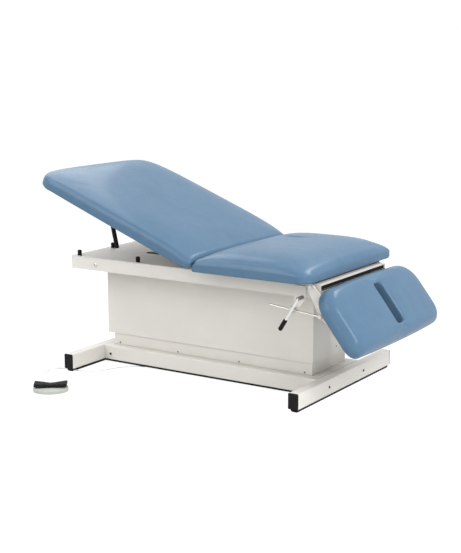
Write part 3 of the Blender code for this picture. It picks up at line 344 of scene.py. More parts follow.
VINYL = Vinyl("steel_blue_vinyl", "vinyl")
ENAMEL = Enamel("off_white_enamel", "enamel")
DECK_ENAMEL = Enamel("deck_grey_enamel", "deck", (0.70, 0.69, 0.665), (0.66, 0.65, 0.625), 0.42)
RUBBER = Moulding("black_rubber", "rubber", rough=0.62, grain=1100.0)
BLACK = Moulding("black_moulding", "black_plastic")
PALE = Moulding("pale_moulding", "pale_plastic", (0.49, 0.52, 0.47), (0.54, 0.57, 0.52), 0.42, 1200.0)
SHEATH = Moulding("white_sheath", "cord", (0.84, 0.84, 0.82), (0.88, 0.88, 0.86), 0.45, 900.0)
ZINC = Plate("zinc_plate", "steel")
DULL = Plate("dull_plate", "steel", (0.26, 0.26, 0.265), (0.20, 0.20, 0.205), 0.42)
BLACKED = Plate("blacked_steel", "steel", (0.055, 0.055, 0.058), (0.035, 0.035, 0.038), 0.38)
CHROME = Plate("chrome_plate", "chrome", (0.72, 0.73, 0.74), (0.66, 0.67, 0.68), 0.10)
SATIN = Plate("satin_chrome", "chrome", (0.60, 0.59, 0.54), (0.54, 0.53, 0.48), 0.30)
# boards: real grain, darkened as painted shade under the pads
SHADE_DARKENED_PLYWOOD = Plywood("stained_plywood", "plywood")


def add_piece(name: str, mesh: bpy.types.Mesh, finish: Finish, body: Body, stands_for: Sequence[str] = (),
              sharp: float = 40.0) -> bpy.types.Object:
    """Adds a finished mesh to the scene and ties it to its body.

    Args:
        name: Name of the new piece.
        mesh: Its mesh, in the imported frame.
        finish: Finish that it gets.
        body: Body that it rides on.
        stands_for: CAD nodes that it replaces.
        sharp: Angle in degrees above which an edge stays sharp.

    Returns:
        The new object.
    """
    mesh.name = name
    mesh.materials.clear()
    mesh.materials.append(finish.material())
    mesh.shade_smooth()
    mesh.set_sharp_from_angle(angle=math.radians(sharp))
    piece = bpy.data.objects.new(name, mesh)
    bpy.context.scene.collection.objects.link(piece)
    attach(piece, body.value)
    if stands_for:
        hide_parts(*stands_for)
    LOG.info("%s rides on %s, %d faces", name, body.value, len(mesh.polygons))
    return piece


def mesh_of(shape: bmesh.types.BMesh, place: Optional[Matrix] = None) -> bpy.types.Mesh:
    """Turns a shape into a mesh with its faces outward.

    Args:
        shape: Shape to use up.
        place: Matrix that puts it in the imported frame.

    Returns:
        The mesh.
    """
    if place is not None:
        shape.transform(place)
    bmesh.ops.recalc_face_normals(shape, faces=shape.faces)
    mesh = bpy.data.meshes.new("shape")
    shape.to_mesh(mesh)
    shape.free()
    return mesh


def apply_modifiers(piece: bpy.types.Object) -> None:
    """Replaces a piece's mesh by its evaluated mesh and drops its modifiers."""
    graph = bpy.context.evaluated_depsgraph_get()
    mesh = bpy.data.meshes.new_from_object(piece.evaluated_get(graph), depsgraph=graph)
    piece.modifiers.clear()
    piece.data = mesh


def skin(shape: bmesh.types.BMesh, rings: Sequence[Sequence[bmesh.types.BMVert]]) -> None:
    """Joins neighbouring rings of a shape with quads."""
    for low, high in zip(rings, rings[1:]):
        count = len(low)
        for index in range(count):
            after = (index + 1) % count
            shape.faces.new((low[index], low[after], high[after], high[index]))


def spokes(side: Vector, other: Vector, count: int) -> list[Vector]:
    """Returns evenly spaced unit directions in the plane of two square directions."""
    angles = [math.tau * index / count for index in range(count)]
    return [side * math.cos(angle) + other * math.sin(angle) for angle in angles]


def rounded_box(low: Vector, high: Vector, edge: float = 0.0) -> bmesh.types.BMesh:
    """Returns a box between two corners, with its edges rounded."""
    shape = bmesh.new()
    bmesh.ops.create_cube(shape, size=1.0)
    shape.transform(Matrix.Translation((low + high) / 2) @ Matrix.Diagonal((*(high - low), 1.0)))
    if edge:
        bmesh.ops.bevel(shape, geom=shape.edges[:], offset=edge, segments=2, profile=0.5, affect="EDGES")
    return shape


def lathe(profile: Sequence[tuple[float, float]], start: Vector, way: Vector,
          steps: int = 32) -> bmesh.types.BMesh:
    """Turns a profile about an axis.

    Args:
        profile: Radius and distance along the axis, from end to end; a radius of 0 closes an end.
        start: Point on the axis where distance is 0.
        way: Direction of the axis.
        steps: Points round the axis.

    Returns:
        The closed shape.
    """
    shape = bmesh.new()
    way = way.normalized()
    side = way.orthogonal().normalized()
    star = spokes(side, way.cross(side), steps)
    rings = []
    for radius, along in profile:
        middle = start + way * along
        rings.append([shape.verts.new(middle + spoke * max(radius, 1e-5)) for spoke in star])
    skin(shape, rings)
    shape.faces.new(rings[0])
    shape.faces.new(rings[-1])
    bmesh.ops.recalc_face_normals(shape, faces=shape.faces)
    return shape


def rounded_rod(radius: float, length: float, edge: float, steps: int = 5) -> list[tuple[float, float]]:
    """Returns the lathe profile of a rod with rounded ends."""
    quarter = [math.radians(90 * step / steps) for step in range(steps + 1)]
    first = [(radius - edge + edge * math.sin(angle), edge - edge * math.cos(angle)) for angle in quarter]
    last = [(across, length - along) for across, along in reversed(first)]
    return [(0.0, 0.0)] + first + last + [(0.0, length)]


def swept(points: Sequence[Vector], radius: float, sides: int = 20) -> bmesh.types.BMesh:
    """Returns a round bar along a path, its ring kept square to the path.

    Args:
        points: Path, in order.
        radius: Bar's radius.
        sides: Points round the bar.

    Returns:
        The closed shape.
    """
    shape = bmesh.new()
    ways = [(after - before).normalized() for before, after in zip(points, points[1:])]
    tangents = [ways[0]] + [(a + b).normalized() for a, b in zip(ways, ways[1:])] + [ways[-1]]
    side = tangents[0].orthogonal().normalized()
    rings = []
    for point, tangent in zip(points, tangents):
        side = (side - tangent * side.dot(tangent)).normalized()
        star = spokes(side, tangent.cross(side), sides)
        rings.append([shape.verts.new(point + spoke * radius) for spoke in star])
    skin(shape, rings)
    shape.faces.new(rings[0])
    shape.faces.new(rings[-1])
    return shape


def bent(corners: Sequence[Point], bend: float, steps: int = 8) -> list[Vector]:
    """Returns a path with its corners rounded.

    Args:
        corners: Corner points, ends included.
        bend: Distance from each corner where its bend starts.
        steps: Points in each bend.

    Returns:
        The path's points.
    """
    stops = [Vector(corner) for corner in corners]
    path = [stops[0]]
    for before, corner, after in zip(stops, stops[1:], stops[2:]):
        first = corner + (before - corner).normalized() * bend
        last = corner + (after - corner).normalized() * bend
        for step in range(steps + 1):
            share = step / steps
            path.append(first * (1 - share) ** 2 + corner * (2 * share * (1 - share)) + last * share ** 2)
    return path + [stops[-1]]


@dataclass
class Eased:
    """A CAD node drawn again with its edges broken, as folded, sawn and moulded edges are."""

    node: str
    body: Body
    finish: Finish
    edge: float = 0.0012
    segments: int = 3
    merge: float = 1e-5
    flat_angle: float = 1.0
    fold_angle: float = 30.0
    sharp: float = 50.0

    def build(self) -> bpy.types.Object:
        """Copies the node's mesh, breaks its edges and adds it in the node's place."""
        shape = bmesh.new()
        shape.from_mesh(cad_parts[self.node].data)
        bmesh.ops.remove_doubles(shape, verts=shape.verts, dist=self.merge)
        bmesh.ops.dissolve_limit(shape, angle_limit=math.radians(self.flat_angle), verts=shape.verts,
                                 edges=shape.edges)
        least = math.radians(self.fold_angle)
        folds = [edge for edge in shape.edges if edge.is_manifold and edge.calc_face_angle() > least]
        bmesh.ops.bevel(shape, geom=folds, offset=self.edge, offset_type="OFFSET", segments=self.segments,
                        profile=0.5, affect="EDGES", clamp_overlap=True)
        mesh = bpy.data.meshes.new(self.node)
        shape.to_mesh(mesh)
        shape.free()
        piece = add_piece(f"{self.node}_eased", mesh, self.finish, self.body, (self.node,), self.sharp)
        flat = piece.modifiers.new("flat_faces", "WEIGHTED_NORMAL")
        flat.keep_sharp = True
        return piece


@dataclass(frozen=True)
class Roll:
    """How a pad's edge rolls over, and how its top crowns in the middle and sags at the corners."""

    start: float
    height: float
    run: float
    crown: float
    crown_powers: tuple[float, float]
    sag: float
    sag_power: float
    head_sag: float = 1.0
    bottom_run: float = 0.005
    bottom_rise: float = 0.006
    bottom_steps: int = 4
    steps: int = 10

    def rows(self) -> list[tuple[float, float]]:
        """Returns inset and height up the side, from the underside to the end of the roll."""
        rows = []
        for step in range(self.bottom_steps + 1):
            angle = math.radians(90 * step / self.bottom_steps)
            rows.append((self.bottom_run * (1 - math.sin(angle)), self.bottom_rise * (1 - math.cos(angle))))
        rows.append((0.0, (self.bottom_rise + self.start) / 2))
        for step in range(self.steps + 1):
            angle = math.radians(90 * step / self.steps)
            height = self.start + (self.height - self.start) * math.sin(angle)
            rows.append((self.run * (1 - math.cos(angle)), height))
        return rows

    def lift(self, along: float, across: float, height: float) -> float:
        """Returns how far the crown and the corners' sag move a point of the roll or the top.

        Args:
            along: Place along the pad, from -1 to 1.
            across: Place across the pad, from -1 to 1.
            height: Height of the point before it moves.

        Returns:
            The rise, which is negative near the corners.
        """
        sag = self.sag * (self.head_sag if along < 0 else 1.0)
        along, across = min(abs(along), 1.0), min(abs(across), 1.0)
        share = max((height - self.start) / (self.height - self.start), 0.0)
        crown = (1 - along ** self.crown_powers[0]) * (1 - across ** self.crown_powers[1]) if share else 0.0
        return self.crown * crown - sag * share * (along * across) ** self.sag_power


@dataclass
class Cushion:
    """One upholstered section: foam in a stretched cover, with a pocket below for its board."""

    node: str
    body: Body
    head: float
    foot: float
    half: float
    under: float
    head_corner: float
    foot_corner: float
    corner_growth: float
    roll: Roll
    board: tuple[float, float, float, float]
    bow: tuple[float, float, float] = (0.0, 0.0, 0.0)
    axis: tuple[float, float] = (0.0, 0.0)
    turn: float = 0.0
    nose: float = 0.0
    hollow: Optional[tuple[float, float, float, float]] = None
    slot: Optional[tuple[float, float, float, float]] = None
    swell: float = 0.002
    board_half: float = 0.418
    board_thick: float = 0.015
    nose_power: float = 2.4
    hollow_ease: float = 0.45
    lip: float = 0.012
    lip_steps: int = 5
    least_corner: float = 0.012
    corner_share: float = 0.98
    top_rings: tuple[float, ...] = (0.04, 0.09, 0.15, 0.22, 0.30, 0.40, 0.50, 0.62, 0.75, 0.88, 0.96)
    slot_rings: tuple[float, ...] = (0.10, 0.22, 0.35, 0.48, 0.61, 0.74, 0.87)
    arc_points: int = 8
    along_points: int = 34
    across_points: int = 48

    def plan(self, head: float, foot: float, half: float, radii: Sequence[float]) -> Plan:
        """Returns a rounded outline with the same count and order of points for every ring.

        Args:
            head: End towards the head.
            foot: End towards the foot.
            half: Half width.
            radii: Corner radii: foot far, head far, head near, foot near.

        Returns:
            Its points, anticlockwise from the foot's far corner.
        """
        middles = [(foot - radii[0], half - radii[0]), (head + radii[1], half - radii[1]),
                   (head + radii[2], radii[2] - half), (foot - radii[3], radii[3] - half)]
        outline: Plan = []
        for index, ((x, y), radius) in enumerate(zip(middles, radii)):
            for step in range(self.arc_points + 1):
                angle = math.radians(90 * (index + step / self.arc_points))
                outline.append((x + radius * math.cos(angle), y + radius * math.sin(angle)))
            after = (index + 1) % 4
            way = math.radians(90 * (index + 1))
            first = outline[-1]
            last = (middles[after][0] + radii[after] * math.cos(way),
                    middles[after][1] + radii[after] * math.sin(way))
            count = self.along_points if index % 2 == 0 else self.across_points
            for step in range(1, count):
                share = step / count
                outline.append((first[0] + (last[0] - first[0]) * share,
                                first[1] + (last[1] - first[1]) * share))
        return outline

    def outline(self, inset: float, height: float) -> Plan:
        """Returns the pad's outline at an inset and a height.

        Args:
            inset: Distance in from the widest outline.
            height: Height above the underside.

        Returns:
            The outline's points, with its ends and sides bowed.
        """
        head, foot, half = self.head + inset, self.foot - inset, self.half - inset
        if self.nose:
            rise = min(abs(2 * height / self.roll.height - 1), 1.0)
            foot = self.foot - self.nose * (1 - (1 - rise ** self.nose_power) ** (1 / self.nose_power))
            foot -= max(inset - self.roll.run, 0.0)
        if self.hollow:
            x, z, radius, least = self.hollow
            away = self.under + height - z
            head = max(x + math.sqrt(max(radius ** 2 - away ** 2, 0.0)), least) + inset * self.hollow_ease
        most = self.corner_share * min(half, (foot - head) / 2)
        foot_corner, head_corner = (min(max(corner + self.corner_growth * inset, self.least_corner), most)
                                    for corner in (self.foot_corner, self.head_corner))
        bowed: Plan = []
        for x, y in self.plan(head, foot, half, (foot_corner, head_corner, head_corner, foot_corner)):
            along, across = self.share(x, y)
            end = self.bow[1] if along > 0 else -self.bow[0]
            side = math.copysign(self.bow[2], across)
            bowed.append((x + end * along ** 2 * (1 - across ** 2),
                          y + side * across ** 2 * (1 - along ** 2)))
        return bowed

    def share(self, x: float, y: float) -> tuple[float, float]:
        """Returns a point's place along and across the pad, from -1 to 1."""
        return (2 * x - self.head - self.foot) / (self.foot - self.head), y / self.half

    def raised(self, ring: Plan, height: float) -> list[Point]:
        """Returns an outline as a ring that follows the pad's crown and sag."""
        return [(x, y, height + self.roll.lift(*self.share(x, y), height)) for x, y in ring]

    def rows(self) -> list[list[Point]]:
        """Returns every ring of the pad above its underside, from the pocket's ceiling to the top."""
        head, foot, head_corner, foot_corner = self.board
        pocket = self.plan(head - GAP, foot + GAP, self.board_half + GAP,
                           (foot_corner, head_corner, head_corner, foot_corner))
        ceiling = self.board_thick + GAP
        rows = [[(x, y, height) for x, y in pocket] for height in (ceiling, 0.0)]
        rows += [self.raised(self.outline(inset, height), height) for inset, height in self.roll.rows()]
        if self.slot:
            return rows + self.slot_rows(rows[-1], ceiling)
        reach = min(self.half, (self.foot - self.head) / 2) - self.roll.run
        for share in self.top_rings:
            outline = self.outline(self.roll.run + reach * share, self.roll.height)
            rows.append(self.raised(outline, self.roll.height))
        return rows

    def slot_rows(self, outer: Sequence[Point], ceiling: float) -> list[list[Point]]:
        """Returns the rings from the end of the roll over the lip and down the slot."""
        head, foot, width, corner = self.slot

        def grown(by: float) -> Plan:
            """Returns the slot's outline moved out."""
            return self.plan(head - by, foot + by, width / 2 + by, [corner + by] * 4)

        lip = self.raised(grown(self.lip), self.roll.height)
        rows = []
        for share in self.slot_rings:
            ring = [(a + (c - a) * share, b + (d - b) * share) for (a, b, _), (c, d, _) in zip(outer, lip)]
            rows.append(self.raised(ring, self.roll.height))
        for step in range(self.lip_steps + 1):
            angle = math.radians(90 * step / self.lip_steps)
            fall = self.lip * (1 - math.cos(angle))
            ring = grown(self.lip * (1 - math.sin(angle)))
            rows.append([(x, y, z - fall) for (x, y), (_, _, z) in zip(ring, lip)])
        wall = grown(0.0)
        for height in (self.roll.height / 2, ceiling):
            rows.append([(x, y, height) for x, y in wall])
        return rows

    def close(self, shape: bmesh.types.BMesh, ring: Sequence[bmesh.types.BMVert]) -> None:
        """Fills a ring with rungs across its narrow way, from the middle of one side to the other's."""
        narrow_along = self.foot - self.head < 2 * self.half
        start = self.arc_points + self.along_points // 2
        if not narrow_along:
            start = 2 * self.arc_points + self.along_points + self.across_points // 2
        count = len(ring)
        left, right = ring[start], ring[start]
        for step in range(1, count // 2 + 1):
            ahead, behind = ring[(start + step) % count], ring[(start - step) % count]
            corners = dict.fromkeys((left, ahead, behind, right))
            shape.faces.new(list(corners))
            left, right = ahead, behind

    def form(self) -> tuple[bpy.types.Mesh, list[int]]:
        """Builds the pad before it swells.

        Returns:
            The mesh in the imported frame, and the points that stay where they are.
        """
        shape = bmesh.new()
        rings = [[shape.verts.new((x, y, self.under + z)) for x, y, z in ring] for ring in self.rows()]
        skin(shape, rings)
        if self.slot:
            skin(shape, [rings[-1], rings[0]])
        else:
            self.close(shape, rings[0])
            self.close(shape, rings[-1])
        shape.verts.index_update()
        held = [vert.index for ring in rings[:3] for vert in ring]
        if self.slot:
            held += [vert.index for ring in rings[-4:] for vert in ring]
        return mesh_of(shape, pivot(*self.axis, self.turn)), held

    def swollen(self, mesh: bpy.types.Mesh, held: Sequence[int]) -> None:
        """Lets the foam press the cover out, with its underside held to the board.

        Args:
            mesh: The pad's mesh, which takes the new shape.
            held: Points that stay where they are.
        """
        scene = bpy.context.scene
        trial = bpy.data.objects.new(f"{self.node}_trial", mesh)
        scene.collection.objects.link(trial)
        group = trial.vertex_groups.new(name="held")
        group.add(list(held), 1.0, "REPLACE")
        cloth = trial.modifiers.new("cover", "CLOTH")
        for name, value in COVER_CLOTH.items():
            setattr(cloth.settings, name, value)
        cloth.settings.effector_weights.gravity = 0.0
        cloth.collision_settings.use_collision = False
        cloth.point_cache.frame_start = 1
        cloth.point_cache.frame_end = SWELL_FRAMES
        for step in range(1, SWELL_FRAMES + 1):
            scene.frame_set(step)
        graph = bpy.context.evaluated_depsgraph_get()
        count = len(mesh.vertices) * 3
        before, after = np.zeros(count), np.zeros(count)
        mesh.vertices.foreach_get("co", before)
        trial.evaluated_get(graph).data.vertices.foreach_get("co", after)
        move = (after - before).reshape(-1, 3)
        far = np.linalg.norm(move, axis=1, keepdims=True)
        move *= np.minimum(1.0, self.swell / np.maximum(far, 1e-9))
        mesh.vertices.foreach_set("co", (before.reshape(-1, 3) + move).ravel())
        scene.frame_set(1)
        bpy.data.objects.remove(trial)
        LOG.info("%s swelled by up to %.1f mm", self.node, 1000 * float(np.linalg.norm(move, axis=1).max()))

    def build(self, pockets: Iterable[bpy.types.Object] = ()) -> bpy.types.Object:
        """Makes the finished pad.

        Args:
            pockets: Cutters for the hinge pockets, used up here.

        Returns:
            The padded piece.
        """
        mesh, held = self.form()
        self.swollen(mesh, held)
        piece = add_piece(f"{self.node}_cover", mesh, VINYL, self.body, (self.node,), 80.0)
        fine = piece.modifiers.new("fine", "SUBSURF")
        fine.levels = fine.render_levels = 1
        for cutter in pockets:
            cut = piece.modifiers.new("pocket", "BOOLEAN")
            cut.operation = "DIFFERENCE"
            cut.solver = "MANIFOLD"
            cut.object = cutter
        apply_modifiers(piece)
        for cutter in pockets:
            bpy.data.objects.remove(cutter)
        piece.data.shade_smooth()
        piece.data.set_sharp_from_angle(angle=math.radians(60))
        return piece


@dataclass
class FixingSet:
    """Screws, bolts or ribs of one kind on one body, set on points by Geometry Nodes."""

    name: str
    body: Body
    finish: Finish
    kind: Repeat
    size: Point
    places: list[tuple[Vector, Vector, Vector]] = field(default_factory=list)
    head_sides: int = 24
    head_steps: tuple[tuple[float, float], ...] = ((0.35, 0.78), (0.12, 0.62), (-0.75, 0.94))

    def add(self, place: Vector, facing: Point, across: Point = (0.0, 0.0, 1.0)) -> None:
        """Adds one fixing at a place, with the way that it faces and the way that it lies."""
        self.places.append((place, Vector(facing), Vector(across)))

    def screw_head(self, tree: bpy.types.NodeTree, inputs: bpy.types.Node) -> bpy.types.NodeSocket:
        """Adds the nodes of a domed head with a round recess; size is radius, height and recess radius.

        Args:
            tree: Tree to add to.
            inputs: The tree's input node.

        Returns:
            The head's geometry socket.
        """
        radius, height = inputs.outputs["Radius"], inputs.outputs["Height"]
        barrel = add_node(tree, "GeometryNodeMeshCylinder", {
            "Vertices": self.head_sides, "Radius": radius, "Depth": height})
        normal = add_node(tree, "GeometryNodeInputNormal")
        split = add_node(tree, "ShaderNodeSeparateXYZ", {"Vector": normal.outputs["Normal"]})
        upward = add_node(tree, "FunctionNodeCompare", {"A": split.outputs["Z"], "B": 0.9},
                          data_type="FLOAT", operation="GREATER_THAN")
        shape, top = barrel.outputs["Mesh"], upward.outputs["Result"]
        for rise, scale in self.head_steps:
            amount = add_node(tree, "ShaderNodeMath", {0: height, 1: rise}, operation="MULTIPLY")
            lift = add_node(tree, "GeometryNodeExtrudeMesh", {
                "Mesh": shape, "Selection": top, "Offset Scale": amount.outputs["Value"],
                "Individual": False})
            narrow = add_node(tree, "GeometryNodeScaleElements", {
                "Geometry": lift.outputs["Mesh"], "Selection": lift.outputs["Top"], "Scale": scale})
            shape, top = narrow.outputs["Geometry"], lift.outputs["Top"]
        return shape

    def rib(self, tree: bpy.types.NodeTree, inputs: bpy.types.Node) -> bpy.types.NodeSocket:
        """Adds the nodes of a low rib with a narrowed top; size is half width, height and length."""
        double = add_node(tree, "ShaderNodeMath", {0: inputs.outputs["Radius"], 1: 2.0}, operation="MULTIPLY")
        sides = add_node(tree, "ShaderNodeCombineXYZ", {
            "X": double.outputs["Value"], "Y": inputs.outputs["Length"], "Z": inputs.outputs["Height"]})
        bar = add_node(tree, "GeometryNodeMeshCube", {"Size": sides.outputs["Vector"]})
        finer = add_node(tree, "GeometryNodeSubdivisionSurface", {
            "Mesh": bar.outputs["Mesh"], "Level": 2, "Edge Crease": 0.6})
        return finer.outputs["Mesh"]

    def tree(self) -> tuple[bpy.types.NodeTree, dict[str, str]]:
        """Builds the tree that sets one shape on every point.

        Returns:
            The tree, and its inputs' identifiers by name.
        """
        tree = bpy.data.node_groups.new(f"{self.name}_tree", "GeometryNodeTree")
        sockets = {"Points": "NodeSocketGeometry", "Radius": "NodeSocketFloat", "Height": "NodeSocketFloat",
                   "Length": "NodeSocketFloat", "Finish": "NodeSocketMaterial"}
        known = {}
        for name, kind in sockets.items():
            known[name] = tree.interface.new_socket(name, in_out="INPUT", socket_type=kind).identifier
        tree.interface.new_socket("Geometry", in_out="OUTPUT", socket_type="NodeSocketGeometry")
        inputs = add_node(tree, "NodeGroupInput")
        shape = self.screw_head(tree, inputs) if self.kind is Repeat.SCREW else self.rib(tree, inputs)
        turn = None
        for axis, about, label in (("Z", "AUTO", "facing"), ("Y", "Z", "across")):
            reader = add_node(tree, "GeometryNodeInputNamedAttribute", {"Name": label},
                              data_type="FLOAT_VECTOR")
            ways = {"Vector": reader.outputs["Attribute"]}
            if turn:
                ways["Rotation"] = turn
            align = add_node(tree, "FunctionNodeAlignRotationToVector", ways, axis=axis, pivot_axis=about)
            turn = align.outputs["Rotation"]
        spread = add_node(tree, "GeometryNodeInstanceOnPoints", {
            "Points": inputs.outputs["Points"], "Instance": shape, "Rotation": turn})
        real = add_node(tree, "GeometryNodeRealizeInstances", {"Geometry": spread.outputs["Instances"]})
        coat = add_node(tree, "GeometryNodeSetMaterial", {
            "Geometry": real.outputs["Geometry"], "Material": inputs.outputs["Finish"]})
        add_node(tree, "NodeGroupOutput", {"Geometry": coat.outputs["Geometry"]})
        return tree, known

    def build(self) -> bpy.types.Object:
        """Runs the tree on the places and adds its result as one plain mesh."""
        points = bpy.data.meshes.new(f"{self.name}_points")
        points.from_pydata([place for place, _, _ in self.places], [], [])
        for label, part in (("facing", 1), ("across", 2)):
            layer = points.attributes.new(label, "FLOAT_VECTOR", "POINT")
            layer.data.foreach_set("vector", [value for entry in self.places for value in entry[part]])
        carrier = bpy.data.objects.new(f"{self.name}_carrier", points)
        bpy.context.scene.collection.objects.link(carrier)
        nodes = carrier.modifiers.new("fixings", "NODES")
        nodes.node_group, known = self.tree()
        values = {"Radius": self.size[0], "Height": self.size[1], "Length": self.size[2],
                  "Finish": self.finish.material()}
        for label, value in values.items():
            nodes[known[label]] = value
        apply_modifiers(carrier)
        mesh = carrier.data
        bpy.data.objects.remove(carrier)
        return add_piece(self.name, mesh, self.finish, self.body, sharp=50.0)


@dataclass(frozen=True)
class Lamp:
    """A soft square lamp, with the point that it faces."""

    name: str
    place: Point
    size: float
    power: float
    aim: Point = (0.0, 0.0, 0.45)

    def hang(self) -> None:
        """Adds the lamp to the scene."""
        data = bpy.data.lights.new(self.name, "AREA")
        data.energy = self.power
        data.size = self.size
        lamp = bpy.data.objects.new(self.name, data)
        lamp.location = at(*self.place)
        lamp.rotation_euler = (at(*self.aim) - lamp.location).to_track_quat("-Z", "Y").to_euler()
        bpy.context.scene.collection.objects.link(lamp)


@dataclass
class Studio:
    """Camera at the photo's place, soft lamps, white surroundings and a floor."""

    eye: Point = (3.1292, -4.8619, 1.5710)
    aim: Point = (0.0013, 0.0153, 0.4212)
    lens: float = 79.8
    shift: tuple[float, float] = (0.0008, 0.0134)
    sky: float = 0.52
    floor_half: float = 14.0
    floor_glow: float = 0.89
    floor_tone: float = 0.24
    floor_bounce: float = 0.72
    lamps: tuple[Lamp, ...] = (
        Lamp("key", (-2.4, -4.4, 3.2), 3.0, 112.0),
        Lamp("head", (-1.9, 0.9, 2.4), 1.8, 21.0, (-0.6, 0.0, 0.85)),
        Lamp("edge", (-1.6, -1.0, 2.7), 1.2, 14.0, (-0.6, 0.0, 0.85)),
        Lamp("top", (1.0, 1.7, 2.9), 1.1, 34.0, (0.5, 0.0, 0.6)),
        Lamp("fill", (3.6, -1.2, 2.6), 2.0, 132.0))

    def camera(self) -> None:
        """Sets the camera where the photo was taken from."""
        data = bpy.data.cameras.new("photo_camera")
        data.lens = self.lens
        data.sensor_width = 36.0
        data.shift_x, data.shift_y = self.shift
        data.clip_end = 60.0
        eye = bpy.data.objects.new("photo_camera", data)
        eye.location = at(*self.eye)
        eye.rotation_euler = (at(*self.aim) - eye.location).to_track_quat("-Z", "Y").to_euler()
        bpy.context.scene.collection.objects.link(eye)
        bpy.context.scene.camera = eye

    @staticmethod
    def end_tree(tree: bpy.types.NodeTree, output: str, lit: bpy.types.NodeSocket,
                 shown: bpy.types.NodeSocket) -> None:
        """Ends a tree with one shader for rays that see, mirrored and clear ones too, and one for the rest.

        Args:
            tree: Tree to end.
            output: Type of its output node.
            lit: Shader for the rays that only carry light.
            shown: Shader for the rays that see.
        """
        path = add_node(tree, "ShaderNodeLightPath")
        seen = path.outputs["Is Camera Ray"]
        for name in ("Is Glossy Ray", "Is Transmission Ray"):
            most = add_node(tree, "ShaderNodeMath", {0: seen, 1: path.outputs[name]}, operation="MAXIMUM")
            seen = most.outputs["Value"]
        mix = add_node(tree, "ShaderNodeMixShader", {"Fac": seen, 1: lit, 2: shown})
        add_node(tree, output, {"Surface": mix.outputs["Shader"]})

    def world(self) -> None:
        """Makes the surroundings: white where they are seen, softer where they light."""
        world = bpy.data.worlds.new("white_room")
        world.use_nodes = True
        tree = world.node_tree
        tree.nodes.clear()
        light = add_node(tree, "ShaderNodeBackground", {"Strength": self.sky, "Color": WHITE})
        white = add_node(tree, "ShaderNodeBackground", {"Color": WHITE})
        self.end_tree(tree, "ShaderNodeOutputWorld", light.outputs["Background"], white.outputs["Background"])
        bpy.context.scene.world = world

    def floor(self) -> None:
        """Lays a pale floor that glows white to the camera and still takes a shadow."""
        shape = bmesh.new()
        bmesh.ops.create_grid(shape, x_segments=1, y_segments=1, size=self.floor_half)
        mesh = mesh_of(shape, Matrix.Translation(at(0.0, 0.0, -GAP)))
        material = bpy.data.materials.new("pale_floor")
        material.use_nodes = True
        tree = material.node_tree
        tree.nodes.clear()
        plain, shaded = (add_node(tree, "ShaderNodeBsdfDiffuse", {"Color": (tone, tone, tone, 1.0)})
                         for tone in (self.floor_bounce, self.floor_tone))
        glow = add_node(tree, "ShaderNodeEmission", {"Strength": self.floor_glow})
        both = add_node(tree, "ShaderNodeAddShader", {
            0: shaded.outputs["BSDF"], 1: glow.outputs["Emission"]})
        self.end_tree(tree, "ShaderNodeOutputMaterial", plain.outputs["BSDF"], both.outputs["Shader"])
        mesh.materials.append(material)
        floor = bpy.data.objects.new("floor", mesh)
        bpy.context.scene.collection.objects.link(floor)

    def build(self) -> None:
        """Sets up camera, light and floor."""
        bpy.context.scene.view_settings.view_transform = "Standard"
        self.camera()
        self.world()
        self.floor()
        for lamp in self.lamps:
            lamp.hang()


